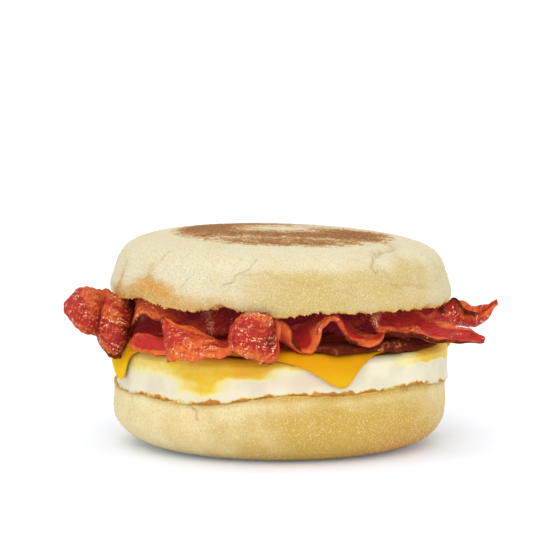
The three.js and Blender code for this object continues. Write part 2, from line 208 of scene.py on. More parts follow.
MIDDLE_RIGHT_FOLDS = [
    [24.4, -37.2, 39.6, 25.6, -20.0, 41.4, 0],
    [26.8, -37.2, 36.4, 29.6, -18.0, 40.4, 0.2],
    [30.8, -35.4, 35.6, 34.0, -15.0, 39.0, 0.2],
    [36.2, -32.5, 34.8, 39.6, -11.0, 38.2, -0.2],
    [40.8, -30.0, 33.4, 45.0, -13.0, 36.2, -0.6],
    [45.8, -27.0, 32.4, 50.0, -14.0, 34.8, -0.6],
    [51.0, -24.0, 31.8, 54.0, -15.0, 34.4, -0.4],
    [57.6, -19.6, 31.2, 58.2, -17.0, 32.6, 0],
]
INNER_RIGHT_FOLDS = [
    [39.6, -6.0, 35.6, 41.0, 14.0, 40.6, -2.5],
    [46.0, -2.0, 39.0, 46.4, 12.0, 39.6, -6.4],
    [49.4, 0.0, 41.2, 50.2, 12.0, 39.4, -6.8],
    [52.6, 1.0, 38.8, 53.6, 11.0, 38.8, -6.0],
    [56.0, 2.0, 36.8, 56.4, 10.0, 38.0, -4.2],
    [59.4, 3.2, 37.2, 59.6, 8.6, 38.8, -2.0],
    [62.7, 4.6, 39.0, 62.4, 7.4, 40.5, 0],
]

# How the strips change from fold to fold. Each bell has the number of the fold that it lies around,
# how many folds it spreads over, and its height. FATTY is fatter above 0 and leaner below,
# DARK_AND_SHADED darkens the whole width, partly as darker meat and partly as painted shade where
# folds turn into shade, CHARRED darkens the near edge, and GLOSS_AND_PAINTED_SHINE sets how much the
# strip glistens and where a highlight is painted.
FATTY = {
    "under": [(1.2, 1.4, -0.3), (5.5, 1.5, 0.3)],
    "front": [(3.6, 2.0, 0.7), (7.3, 1.3, 0.25), (10.5, 1.5, 0.35), (15.5, 1.5, 0.2),
              (20.0, 2.0, 0.25)],
    "middle": [(1.5, 1.2, 0.2), (4.5, 1.0, 0.25), (6.6, 0.9, -0.9), (9.5, 1.5, 0.35), (14.0, 1.2, -0.9),
               (19.0, 3.5, -0.7), (26.0, 1.6, -0.1), (29.0, 1.2, 0.1)],
    "inner": [(2.0, 3.0, -0.9), (8.5, 4.0, -0.7), (15.0, 2.5, -0.7), (18.4, 0.8, 0.6),
              (20.3, 0.9, -0.8), (22.8, 1.2, 0.05)],
}
DARK_AND_SHADED = {
    "under": [(12.6, 5.2, 1.4)],
    "front": [(0.0, 0.5, 0.3), (7.6, 1.5, 0.4)],
    "middle": [(2.8, 2.6, 0.46), (6.1, 1.2, 0.9), (14.0, 1.3, 0.45)],
    "inner": [(21.5, 2.0, 0.15)],
}
CHARRED = {
    "middle": [(5.4, 0.7, 0.7), (26.6, 2.0, 1.0)],
    "inner": [(22.0, 1.6, 0.7)],
}
GLOSS_AND_PAINTED_SHINE = {
    "under": [(1.6, 2.2, -1.0)],
    "front": [(2.5, 1.0, 0.5), (7.2, 1.2, 0.6), (20.5, 1.5, 0.3)],
    "middle": [(1.8, 0.9, 0.4), (4.9, 0.8, 0.5), (13.2, 0.6, 0.9), (23.4, 0.7, 0.9), (28.5, 1.5, 0.4)],
    "inner": [(19.0, 0.6, 0.5), (22.0, 1.5, 0.4)],
}

# Soft spots on the sides. A spot has its strength, the degrees that it lies around and spreads over,
# and pairs of heights: it fades in from the first to the second of each pair. RIM_NOTCHES lifts the
# torn rim, CROWN_DENTS dents the upper half, and CHEESE_TUCK draws in the cheese's front edge, with a
# pair of reaches from the centre in place of heights. The rest colour the crust and the egg.
RIM_NOTCHES = [
    (1.6, -147, 7), (1.8, -110, 5), (-0.8, -127, 9), (-0.6, -90, 7), (0.5, -42, 8),
]
CROWN_DENTS = [(0.45, -163, 5, (2, 6), (14, 8)), (0.45, -148, 5, (2, 6), (14, 8))]
CHEESE_TUCK = [(1.9, -81, 10, (40, 46))]
HEEL_HEAT = [(0.75, -36, 26, (13, 5)), (0.5, 40, 40, (14, 5)), (0.4, 150, 30, (12, 4))]
HEEL_BARE = [(0.85, -62, 50), (0.5, 60, 50)]
CROWN_HEAT = [
    (1.3, -138, 12, (8.6, 5.2), (1.6, 4.2)), (0.8, -161, 3.0, (11, 6)), (0.6, -150, 18, (5.0, 1.6)),
    (0.65, -141, 2.6, (13.5, 9.5), (5, 8)), (0.5, -128, 20, (5, 1.5)), (0.3, -100, 24, (5.0, 1.2)),
    (0.75, 62, 12, (8, 4)), (0.5, 152, 9, (11, 5)),
]
CROWN_BARE = [
    (0.9, -80, 26, (14, 9)), (0.5, -42, 20, (18, 11)), (0.2, -14, 26, (16, 9)),
    (0.6, -138, 30, (5.5, 2.5)), (0.5, 90, 40, (12, 6)),
]
EGG_YOLK = [
    (0.8, -140, 26, (4.0, 7.6)), (1.1, -117, 9, (0.2, 3.4)), (1.0, -101, 9, (4.6, 6.4)),
    (0.7, -87, 9, (7.0, 8.6)), (1.6, -16, 24, (6.2, 7.2)), (1.0, 70, 16, (2, 5)),
    (0.8, 130, 12, (5, 7)),
]
EGG_AMBER = [(1.0, -103, 8, (4.4, 7.0)), (0.8, 74, 8, (5, 8)), (0.5, -90, 10, (7.4, 9.0))]
EGG_ROSY = [(1.0, -84, 12, (1.6, 3.0), (7.6, 5.4))]

# Toasted ovals on top and pale ones in them: strength, x and y, and half widths along x and y
TOASTED = [
    (1.05, -22, 5, 12, 14), (0.65, -8, 21, 18, 7), (0.9, 4, -11, 28, 6), (1.05, 20, 0, 10, 10),
    (0.75, 1, -26, 26, 7),
]
UNTOASTED = [(0.7, -2, 4, 9, 5), (0.75, 17, 20, 14, 8)]

# Cracks in the crust. A crack follows stations of degrees around the muffin and millimetres up its
# side, and then has its width and its depth.
CROWN_CRACKS = [
    ([[-99, 14.6], [-101, 12.6], [-104.6, 10.6], [-106.4, 8.4], [-109, 6.8]], 0.25, 0.45),
    ([[-104, 10.6], [-96, 10.9], [-90, 10.2]], 0.24, 0.26),
    ([[-86, 9.4], [-80, 8.2], [-75, 8.0]], 0.22, 0.2),
    ([[-72, 6.6], [-65, 5.2], [-60, 5.6]], 0.24, 0.2),
    ([[-21, 16.8], [-37, 16.4], [-45, 15.6], [-52, 14.8], [-55.5, 12.6], [-54.5, 11.2]], 0.33, 0.64),
    ([[-51, 11.2], [-50, 8.2], [-45, 7.0], [-40, 7.4], [-33, 6.4]], 0.5, 0.36),
    ([[-138, 14.6], [-137.5, 12.4]], 0.39, 0.4),
    ([[-128, 13.8], [-127.4, 11.8]], 0.22, 0.36),
    ([[-123, 8.6], [-125, 6.4]], 0.22, 0.28),
    ([[-161, 9.6], [-159, 4.0]], 0.33, 0.32),
    ([[-172, 12.0], [-184, 9.6], [-189, 10.4]], 0.28, 0.4),
    ([[150, 13.4], [144, 10.4], [146, 7.6], [139, 5.2]], 0.28, 0.56),
    ([[118, 9.0], [108, 10.4], [99, 8.4], [88, 8.8]], 0.28, 0.32),
    ([[64, 15.2], [60, 12.8], [54, 11.6], [52, 8.6]], 0.28, 0.6),
    ([[28, 8.2], [18, 9.4], [9, 7.6], [1, 8.4]], 0.33, 0.36),
    ([[-8, 12.8], [-12, 10.6], [-10, 8.2]], 0.28, 0.4),
]
HEEL_CRACKS = [
    ([[-121.6, 18.6], [-120.6, 17.2], [-119.2, 15.9], [-118.5, 13.6]], 0.25, 0.72),
    ([[-41, 19.4], [-39, 18.0], [-42, 17.8], [-44.6, 18.4]], 0.2, 0.4),
    ([[-44, 17.6], [-41, 16.8]], 0.2, 0.32),
    ([[-152, 17.6], [-150, 14.8]], 0.22, 0.32),
    ([[-16, 17.8], [-18, 15.2], [-16.5, 13.0]], 0.28, 0.4),
    ([[158, 18.0], [155, 15.6], [157, 13.4]], 0.28, 0.48),
    ([[112, 17.8], [103, 16.4], [96, 16.8]], 0.22, 0.36),
    ([[58, 18.2], [60, 15.4], [56, 12.8]], 0.25, 0.56),
    ([[22, 17.2], [14, 16.0]], 0.22, 0.32),
]


def linear(red, green, blue):
    """The linear colour of three screen values from 0 to 255."""
    screen = [value / 255 for value in (red, green, blue)]
    return tuple(v / 12.92 if v <= 0.04045 else ((v + 0.055) / 1.055) ** 2.4 for v in screen)


def length(name, description, millimetres):
    """A property for a length, shown in the scene's unit."""
    return bpy.props.FloatProperty(
        name=name, description=description, default=millimetres * MM, min=0.0,
        subtype="DISTANCE", unit="LENGTH", precision=4)


def amount(name, description, pieces):
    """A property for a number of loose bits."""
    return bpy.props.IntProperty(name=name, description=description, default=pieces, min=0)


def colour(name, description, red, green, blue):
    """A property for a colour, given by its screen values."""
    return bpy.props.FloatVectorProperty(
        name=name, description=description, default=linear(red, green, blue), size=3,
        min=0.0, max=1.0, subtype="COLOR")


class SandwichSizes(bpy.types.PropertyGroup):
    """Outer sizes that the layers are worked out from"""

    heel_radius: length("Lower Muffin Radius", "Widest radius of the lower muffin half", 47.6)
    heel_height: length("Lower Muffin Height", "Height of the lower muffin half", 19.1)
    crown_radius: length("Upper Muffin Radius", "Nominal radius of the upper muffin half", 48.5)
    crown_height: length("Upper Muffin Height", "Height of the upper muffin half", 18.7)
    crown_floor: length("Upper Muffin Floor", "Height of the upper muffin half's cut face", 42.5)
    egg_radius: length("Egg Radius", "Radius of the round egg", 47.4)
    egg_top: length("Egg Top", "Height of the egg's level top", 29.7)
    cheese_side: length("Cheese Side", "Side of the square cheese slice", 84.5)
    cheese_thickness: length("Cheese Thickness", "Thickness of the cheese slice", 1.8)
    bacon_thickness: length("Bacon Thickness", "Thickness of a bacon strip", 1.7)
    grain_size: length("Cornmeal Size", "Largest width of a cornmeal grain", 0.55)
    crumb_size: length("Crumb Size", "Largest width of a loose crumb", 1.3)


class SandwichDusting(bpy.types.PropertyGroup):
    """How many loose bits lie on the crust"""

    crown_grains: amount("Upper Grains", "Cornmeal grains on the upper muffin half", 4200)
    heel_grains: amount("Lower Grains", "Cornmeal grains on the lower muffin half", 5200)
    rim_crumbs: amount("Rim Crumbs", "Crumbs on the upper muffin half's torn rim", 900)


class SandwichColours(bpy.types.PropertyGroup):
    """Colours of the layers"""

    flour: colour("Flour", "Pale floured crust", 221, 211, 178)
    heel_flour: colour("Lower Flour", "Floured crust of the lower half", 236, 219, 166)
    crown_crust: colour("Upper Crust", "Barer crust of the upper half", 204, 178, 112)
    heel_crust: colour("Lower Crust", "Barer crust of the lower half", 202, 164, 72)
    golden: colour("Golden Crust", "Crust that took more heat", 206, 150, 68)
    toast: colour("Toast", "Toasted ring on top", 186, 131, 56)
    char: colour("Dark Toast", "Darkest toasted streaks", 142, 84, 26)
    crumb: colour("Crumb", "Torn inside of the muffin", 226, 186, 96)
    grain: colour("Cornmeal", "Cornmeal grains", 232, 206, 110)
    white: colour("Egg White", "Cooked egg white", 229, 221, 193)
    yolk: colour("Yolk", "Yolk that shows at the surface", 232, 190, 26)
    amber: colour("Deep Yolk", "Yolk where it lies thick", 222, 166, 30)
    browned: colour("Browned Egg", "Browned lower edge of the egg", 202, 138, 50)
    cheese: colour("Cheese", "Melted cheese", 214, 148, 16)
    lean: colour("Lean", "Lean meat of the bacon", 182, 30, 9)
    fat: colour("Fat", "Fried fat of the bacon", 218, 110, 38)
    # Also the colour of the bacon's painted shade in folds that turn into shade and in hollows
    crisp_and_shade: colour("Crisp", "Darkest edges of the bacon", 80, 22, 4)
    floor: colour("Floor", "Pale studio floor", 246, 248, 252)


def millimetres(context):
    """The sizes as plain numbers in millimetres."""
    sizes = context.scene.sandwich_sizes
    return SimpleNamespace(**{name: getattr(sizes, name) / MM for name in sizes.__annotations__})


def bump_at(angle, at, spread):
    """A round bump of height 1 at `at` degrees that fades out over `spread` degrees each way."""
    away = angle - math.radians(at)
    nearest = np.arctan2(np.sin(away), np.cos(away))
    return np.exp(-((nearest / math.radians(spread)) ** 2))


def rise(value, low, high):
    """Rises smoothly from 0 to 1 as the value goes from low to high."""
    t = np.clip((value - low) / (high - low), 0, 1)
    return t * t * (3 - 2 * t)


def soft_spots(angle, height, spots):
    """Sum of soft spots around a body: each is a round bump that fades in over its heights."""
    return sum(
        strength * bump_at(angle, at, spread) * math.prod(rise(height, *pair) for pair in pairs)
        for strength, at, spread, *pairs in spots)


def lumps(x, y, z, size):
    """Smooth lumps about `size` across, from -1 to 1: the mean of three warped sine waves."""
    a, b, c = x / size, y / size, z / size
    return (
        np.sin(2.1 * a + 1.7 * np.sin(1.3 * b + 0.4))
        + np.sin(1.9 * b + 1.3 * np.sin(1.7 * c + 2.1))
        + np.sin(2.3 * c + 1.5 * np.sin(1.1 * a + 4.2))
    ) / 3


def corner_value(i, j, k, seed):
    """A fixed random number from -1 to 1 for each whole-number corner (i, j, k)."""
    mixed = (i * 73856093) ^ (j * 19349663) ^ (k * 83492791) ^ (seed * 2654435761)
    mixed = (mixed ^ (mixed >> 13)) * 1274126177
    return ((mixed ^ (mixed >> 16)) & 0xFFFFFF) / 0x7FFFFF - 1


def noise(x, y, z, size, seed=0):
    """Random heights from -1 to 1, about `size` across: values at the corners of a cubic lattice,
    blended smoothly inside each cube."""
    place = np.stack(np.broadcast_arrays(x, y, z)) / size
    corner = np.floor(place).astype(np.int64)
    inside = place - corner
    blend = inside * inside * (3 - 2 * inside)
    total = 0
    for step in np.ndindex(2, 2, 2):
        sides = [blend[a] if step[a] else 1 - blend[a] for a in range(3)]
        value = corner_value(corner[0] + step[0], corner[1] + step[1], corner[2] + step[2], seed)
        total = total + sides[0] * sides[1] * sides[2] * value
    return total


def rough(x, y, z, size, seed=0, layers=3):
    """Noise of several sizes: each layer is half as large and half as high as the one before."""
    heights = [noise(x, y, z, size / 2**i, seed + i) / 2**i for i in range(layers)]
    return sum(heights) / (2 - 2 / 2**layers)


def smooth_through(rows, t):
    """Values of a list of rows at each t from 0 to 1, on a smooth curve through all of them."""
    rows = np.asarray(rows, float)
    place = np.clip(t, 0, 0.99999) * (len(rows) - 1)
    i = np.floor(place).astype(int)
    s = (place - i)[:, None]
    p, q, r, w = (rows[np.clip(i + k, 0, len(rows) - 1)] for k in (-1, 0, 1, 2))
    a, b = (r - p) / 2, (w - q) / 2
    turn = q - r
    return q + s * (a + s * (-3 * turn - 2 * a - b + s * (2 * turn + a + b)))


def arc(centre_r, centre_h, radius_r, radius_h, start, end, steps):
    """Points of an elliptical arc from one angle to another, in degrees."""
    angle = np.radians(np.linspace(start, end, steps + 1))
    r = centre_r + radius_r * np.cos(angle)
    h = centre_h + radius_h * np.sin(angle)
    return np.stack([r, h], 1).tolist()


def crowded_profile(points, count):
    """A smooth curve through [radius, height] points, divided into steps that are short along the
    outer side and five times as long near the axis."""
    fine = smooth_through(points, np.linspace(0, 1, 60 * len(points)))
    widest = fine[:, 0].max()
    crowding = 1 + 4 * rise(fine[1:, 0], 0.76 * widest, 0.88 * widest)
    step = np.linalg.norm(np.diff(fine, axis=0), axis=1)
    walked = np.concatenate([[0], np.cumsum(step * crowding)])
    at = np.linspace(0, walked[-1], count)
    radius, height = (np.interp(at, walked, fine[:, k]) for k in (0, 1))
    radius[[0, -1]] = 0
    return radius, height


def turned(profile, rows, columns):
    """x, y and height of a body turned about +Z: each row is a ring of the profile."""
    radius, height = crowded_profile(profile, rows)
    angle = np.linspace(-math.pi, math.pi, columns, endpoint=False)
    x, y = radius[:, None] * np.cos(angle), radius[:, None] * np.sin(angle)
    return x, y, np.broadcast_to(height[:, None], x.shape)


def outward(points):
    """Unit normals of a turned body's grid, which point out; none at the two poles."""
    around = np.roll(points, -1, axis=1) - np.roll(points, 1, axis=1)
    normal = np.cross(around, np.gradient(points, axis=0))
    normal[[0, -1]] = 0
    return normal / np.maximum(np.linalg.norm(normal, axis=2, keepdims=True), 1e-9)


def crack_relief(angle, height, radius, cracks):
    """How deep a body's cracks are, and how far the crust beside them is lifted. A crack falls off
    as a bell to both sides of its jagged route, and the crust on its left stands up as a lip."""
    u = angle * radius
    level = np.zeros_like(u)
    jag_u = 0.9 * noise(u, height, level, 2.8, 5) + 0.4 * noise(u, height, level, 1.0, 6)
    jag_v = 0.7 * noise(u, height, level, 2.8, 7) + 0.3 * noise(u, height, level, 1.0, 8)
    cut = np.zeros_like(u)
    lift = np.zeros_like(u)
    for route, width, deep in cracks:
        stations = np.array([[math.radians(a) * radius, h] for a, h in route])
        nearest = np.full(u.shape, 1e9)
        lip = np.zeros_like(u)
        for number, (start, end) in enumerate(zip(stations[:-1], stations[1:])):
            reach = end - start
            du = u + jag_u - start[0]
            du = du - 2 * math.pi * radius * np.round(du / (2 * math.pi * radius))
            dv = height + jag_v - start[1]
            t = np.clip((du * reach[0] + dv * reach[1]) / (reach @ reach), 0, 1)
            away = np.hypot(du - t * reach[0], dv - t * reach[1])
            along = (number + t) / (len(stations) - 1)
            on_left = du * reach[1] < dv * reach[0]
            raised = on_left * (1 - (2 * along - 1) ** 4) * np.exp(-away / CRACK_LIP_REACH)
            lip = np.where(away < nearest, raised, lip)
            nearest = np.minimum(nearest, away)
        cut = np.maximum(cut, deep * np.exp(-((nearest / width) ** 2)))
        lift = np.maximum(lift, CRACK_LIP * deep * lip)
    return cut, lift


def patch(x, y, at_x, at_y, wide, deep):
    """A soft oval patch of height 1 around a place, `wide` along x and `deep` along y."""
    return np.exp(-(((x - at_x) / wide) ** 2) - ((y - at_y) / deep) ** 2)


def grid_quads(index, wrap=False):
    """Quads between neighbouring rows and columns of a grid of vertex numbers."""
    if wrap:
        index = np.concatenate([index, index[:, :1]], axis=1)
    corners = [index[:-1, :-1], index[:-1, 1:], index[1:, 1:], index[1:, :-1]]
    return np.stack(corners, axis=2).reshape(-1, 4)


def new_piece(name, points, faces, marks=None, flow=None):
    """Makes an object from points in millimetres. `marks` are values kept on the points by name,
    and `flow` is each point's place along and across the piece, kept as its UV map."""
    mesh = bpy.data.meshes.new(name)
    mesh.from_pydata((np.asarray(points) * MM).tolist(), [], faces)
    mesh.update()
    for mark, values in (marks or {}).items():
        layer = mesh.attributes.new(mark, "FLOAT", "POINT")
        layer.data.foreach_set("value", np.ascontiguousarray(values, np.float32).ravel())
    if flow is not None:
        corner = np.empty(len(mesh.loops), np.int32)
        mesh.loops.foreach_get("vertex_index", corner)
        mesh.uv_layers.new(name="flow").data.foreach_set("uv", flow[corner].astype(np.float32).ravel())
    mesh.shade_smooth()
    piece = bpy.data.objects.new(name, mesh)
    bpy.context.scene.collection.objects.link(piece)
    return piece


def round_piece(name, points, marks):
    """Closes a turned body: its first and last rings become single points."""
    rows, columns = points.shape[:2]
    index = np.arange((rows - 2) * columns).reshape(rows - 2, columns) + 1
    top = (rows - 2) * columns + 1
    ring = np.arange(columns)
    after = np.roll(ring, -1)
    below = np.stack([np.zeros(columns, int), index[0, after], index[0, ring]], 1)
    above = np.stack([np.full(columns, top), index[-1, ring], index[-1, after]], 1)
    faces = grid_quads(index, wrap=True).tolist() + below.tolist() + above.tolist()

    def flat(grid):
        """The grid as one list, with a single point for each pole."""
        return np.concatenate([grid[:1, 0], grid[1:-1].reshape(-1, *grid.shape[2:]), grid[-1:, 0]])

    return new_piece(name, flat(points), faces, {k: flat(v) for k, v in marks.items()})


def grid_normal(points):
    """Unit normals of an open grid of points."""
    normal = np.cross(np.gradient(points, axis=0), np.gradient(points, axis=1))
    return normal / np.maximum(np.linalg.norm(normal, axis=2, keepdims=True), 1e-9)


def pillow_piece(name, middle, half, relief, marks, flow):
    """Makes a closed sheet: two skins that lie `half` to each side of a grid of middle points and
    meet along its edge. `relief` raises each skin, the upper and the lower one, and each mark has
    its values on the upper and on the lower skin."""
    rows, columns = middle.shape[:2]
    normal = grid_normal(middle)
    inner = np.zeros((rows, columns), bool)
    inner[1:-1, 1:-1] = True
    raised = np.where(inner, half, 0)
    upper = middle + normal * (raised + np.where(inner, relief[0], 0))[..., None]
    lower = middle - normal * (raised + np.where(inner, relief[1], 0))[..., None]
    index = np.arange(rows * columns).reshape(rows, columns)
    under = index.copy()
    under[inner] = rows * columns + np.arange(inner.sum())
    faces = grid_quads(index).tolist() + grid_quads(under)[:, ::-1].tolist()

    def both(on_upper, on_lower):
        """Values of the whole upper skin, then those of the lower skin inside the edge."""
        return np.concatenate([on_upper.reshape(-1, *on_upper.shape[2:]), on_lower[inner]])

    kept = {mark: both(*skins) for mark, skins in marks.items()}
    return new_piece(name, both(upper, lower), faces, kept, both(flow, flow))


def add_to_sandwich(piece, finish, slot, *nodes):
    """Gives a piece its finish and lets it stand for the solids named."""
    piece.data.materials.append(finish)
    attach(piece, BODY)
    if nodes:
        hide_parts(*nodes)


# Shapes of the muffin, the egg and the cheese

def heel_top(s, x, y):
    """Height of the lower muffin half's cut face: a shallow saddle with a wavy rim."""
    a, b = x / s.heel_radius, y / s.heel_radius
    saddle = 0.6 * a - 0.4 * b - 0.4 * (a * a - b * b) - 1.4 * a * b
    angle = np.arctan2(y, x)
    wave = HEEL_WAVE * np.cos(7 * (angle + math.pi / 2)) - HEEL_SAG * bump_at(angle, -124, 28)
    return s.heel_height + saddle + wave * np.hypot(a, b) ** 5


def crust_relief(x, y, z, seed):
    """Height of the fine crust: small pebbles, shallow pits and a few thin wrinkles."""
    pebbles = 0.09 * rough(x, y, z, 2.4, seed) + 0.05 * noise(x, y, z, 0.8, seed + 3)
    fold = noise(x, y, 1.6 * z, 8.0, seed + 7) + 0.35 * noise(x, y, z, 2.5, seed + 8)
    wrinkle = np.exp(-((fold / 0.05) ** 2)) * rise(noise(x, y, z, 14.0, seed + 9), 0.0, 0.5)
    return pebbles - 0.24 * wrinkle


def crumb_relief(x, y, z, seed):
    """Height of torn crumb: ragged points with round holes between them."""
    large = rise(noise(x, y, z, 3.2, seed), 0.1, 0.55)
    small = rise(noise(x, y, z, 1.7, seed + 1), 0.15, 0.6)
    return 0.35 * rough(x, y, z, 1.8, seed + 2) - 0.7 * (large + 0.6 * small)


def heel_points(s):
    """The lower muffin half's grid and its marks: a turned profile with a flat foot and a round
    belly, whose top follows heel_top, with dents, cracks, crust and torn crumb added."""
    profile = [
        [0, 0], [HEEL_BASE_RADIUS * 0.55, 0],
        *arc(HEEL_BASE_RADIUS, HEEL_BELLY_HEIGHT, s.heel_radius - HEEL_BASE_RADIUS,
             HEEL_BELLY_HEIGHT, -90, 0, 6),
        [s.heel_radius - 0.1, 14.2], [s.heel_radius - 0.4, 16.8],
        [s.heel_radius - 0.6, s.heel_height - 0.4], [s.heel_radius - 1.3, s.heel_height],
        [s.heel_radius * 0.75, s.heel_height], [s.heel_radius * 0.4, s.heel_height],
        [0, s.heel_height],
    ]
    x, y, h = turned(profile, *HEEL_GRID)
    up = h / s.heel_height
    dent = 0.01 * up * lumps(x, y, 2 * h, 14)
    shift = HEEL_OFFSET + HEEL_FOOT_SHIFT * (1 - rise(h, 2, HEEL_BELLY_HEIGHT))
    points = np.stack([x * (1 + dent) + shift, y * (1 + dent), up * (heel_top(s, x, y) - 0.05)], 2)
    angle = np.arctan2(y, x)
    reach = np.hypot(x, y)
    torn = np.where(up > 0.995, 1.0, rise(reach, 30, 40) * rise(up, 0.97, 1.0))
    side = rise(h, 0.2, 2.0)
    cracks, lips = crack_relief(angle, h, s.heel_radius, HEEL_CRACKS)
    relief = side * (1 - torn) * (crust_relief(x, y, h, 11) + lips)
    relief = relief + torn * np.minimum(crumb_relief(x, y, h, 31), 0.1) - cracks * side
    points = points + outward(points) * relief[..., None]
    points[..., 2] = np.maximum(points[..., 2], 0)
    heat = soft_spots(angle, h, HEEL_HEAT) + 0.45 * rise(h, 6, 1)
    bare = 0.2 + soft_spots(angle, h, HEEL_BARE)
    bare = bare * (0.6 + 0.4 * rise(h, 18, 11)) + 0.1 * rise(h, 6, 2) + 0.5 * rise(h, 16.5, 19)
    edge = rise(h, s.heel_height - 1.1, s.heel_height - 0.3)
    marks = {
        "scorch": heat, "bare": bare, "crack": np.clip(cracks / DEEPEST_CRACK, 0, 1), "torn": torn,
        "edge": edge}
    return points, marks


def rim_lift(angle):
    """How far the upper muffin half's cut rim is lifted at each angle, by torn notches and waves."""
    return soft_spots(angle, 0, RIM_NOTCHES) + 0.3 * np.sin(5 * angle + 0.8) + 0.25 * np.cos(angle)


def toast_marks(x, y):
    """How strongly the top is toasted: a broad ring with a pale middle and a pale back right,
    darkest at the left, across the front of the middle and at the right."""
    dark = sum(strength * patch(x, y, *oval) for strength, *oval in TOASTED) + 0.2
    for strength, *oval in UNTOASTED:
        dark = dark * (1 - strength * patch(x, y, *oval))
    return dark * rise(np.hypot(x - 0.5, y), 34.5, 27.5)


def crown_points(s):
    """The upper muffin half's grid and its marks: a turned dome with a hollow cut face and a torn
    rim, with dents, cracks and crust added, leaned to the right and lifted to its place."""
    profile = [
        [0, CROWN_HOLLOW], [20, CROWN_HOLLOW], [38, CROWN_HOLLOW], *CROWN_RIM,
        [16, s.crown_height - 0.3], [0, s.crown_height],
    ]
    x, y, h = turned(profile, *CROWN_GRID)
    angle = np.arctan2(y, x)
    reach = np.hypot(x, y)
    r = reach / s.crown_radius
    low = 1 - h / s.crown_height
    dent = 0.01 * r * low * lumps(x, y, 2 * h, 13) + 0.005 * r * lumps(x, y, h, 22)
    dent = dent - soft_spots(angle, h, CROWN_DENTS) / s.crown_radius
    crumb = 0.3 * lumps(x, y, h, 4)
    height = h + (rim_lift(angle) * r**8 + crumb) * low**3
    points = np.stack([x * (1 + dent), y * (1 + dent), height], 2)
    underside = np.arange(h.shape[0])[:, None] < np.argmin(h[:, 0])
    torn = np.where(underside, 1.0, rise(h, 0.9, 0.2))
    ragged = rise(h, 2.4, 0.4) * rise(reach, 40, 45)
    cracks, lips = crack_relief(angle, h, s.crown_radius, CROWN_CRACKS)
    relief = (1 - torn) * (crust_relief(x, y, h, 51) + lips - cracks)
    relief = relief + torn * crumb_relief(x, y, h, 71)
    points = points + outward(points) * relief[..., None]
    tatters = 0.45 * rough(x, y, 0 * x, 2.2, 91) + 0.25 * noise(x, y, 0 * x, 0.9, 95)
    points[..., 2] += ragged * tatters
    marks = {
        "toast": toast_marks(x, y) * (h > s.crown_height / 2),
        "scorch": soft_spots(angle, h, CROWN_HEAT), "bare": soft_spots(angle, h, CROWN_BARE) + 0.12,
        "crack": np.clip(cracks / DEEPEST_CRACK, 0, 1), "torn": torn, "edge": rise(h, 1.5, 0.5)}
    points[..., 2] -= 0.1 * rise(h, s.crown_height - 3, s.crown_height)
    return crown_in_place(s, points), marks


def crown_in_place(s, points):
    """Turns points of the upper muffin half about +Y by its lean and lifts them to its floor."""
    x, y, z = points[..., 0], points[..., 1], points[..., 2]
    cos, sin = math.cos(CROWN_LEAN), math.sin(CROWN_LEAN)
    return np.stack([x * cos + z * sin, y, z * cos - x * sin + s.crown_floor], -1)


def egg_outline(angle):
    """The egg's outline, as a factor on its radius."""
    waves = 0.005 * np.sin(2 * angle + 0.6) + 0.005 * np.sin(3 * angle + 2.2)
    return 1 + waves - EGG_LEFT_DENT * bump_at(angle, 180, 45)


def egg_points(s):
    """The egg's grid and its marks: a thick disc with a rounded top edge, whose bottom follows the
    muffin, with a soft wavy side and a lacy lower lip."""
    thickness = s.egg_top - s.heel_height
    side = s.egg_radius - EGG_TOP_ROUNDING
    profile = [
        [0, 0], [s.egg_radius * 0.5, 0], [s.egg_radius * 0.82, 0],
        *arc(s.egg_radius - EGG_LIP, EGG_LIP, EGG_LIP, EGG_LIP, -90, 0, 3),
        *arc(side, thickness - EGG_TOP_ROUNDING, EGG_TOP_ROUNDING, EGG_TOP_ROUNDING, 0, 90, 4),
        [s.egg_radius * 0.75, thickness], [s.egg_radius * 0.4, thickness], [0, thickness],
    ]
    x, y, h = turned(profile, *EGG_GRID)
    angle = np.arctan2(y, x)
    out = egg_outline(angle)
    bottom = heel_top(s, x, y) + 0.05
    points = np.stack([x * out, y * out, bottom + (s.egg_top - bottom) * (h / thickness)], 2)
    reach = np.hypot(x, y)
    edge = rise(reach, 40, 45)
    lip = edge * rise(h, 1.6, 0.4)
    relief = 0.12 * noise(x, y, 0.5 * h, 6.0, 111) + 0.05 * noise(x, y, h, 2.0, 112)
    relief = relief + lip * (0.45 * rough(x, y, 2 * h, 2.0, 113) + 0.1)
    relief = np.where(reach < 40, 0, relief * edge)
    points = points + outward(points) * relief[..., None]
    turn = angle + math.radians(3.0) * noise(x, y, h, 4.5, 124)
    z = h + 0.9 * noise(x, y, h, 5.0, 121) + 0.4 * noise(x, y, h, 1.8, 122)
    lace = edge * rise(h + 0.7 * noise(x, y, h, 1.6, 131), 1.1, 0.2)
    clumps = noise(x, y, 0 * x, 7.0, 132) + 0.9 * bump_at(angle, -70, 55)
    lace = lace * (0.25 + 0.75 * rise(clumps, -0.2, 0.6))
    marks = {
        "yolk": np.clip(soft_spots(turn, z, EGG_YOLK), 0, 1),
        "amber": np.clip(soft_spots(turn, z, EGG_AMBER), 0, 1),
        "lace": np.clip(lace, 0, 1), "rosy": soft_spots(turn, z, EGG_ROSY)}
    return points, marks


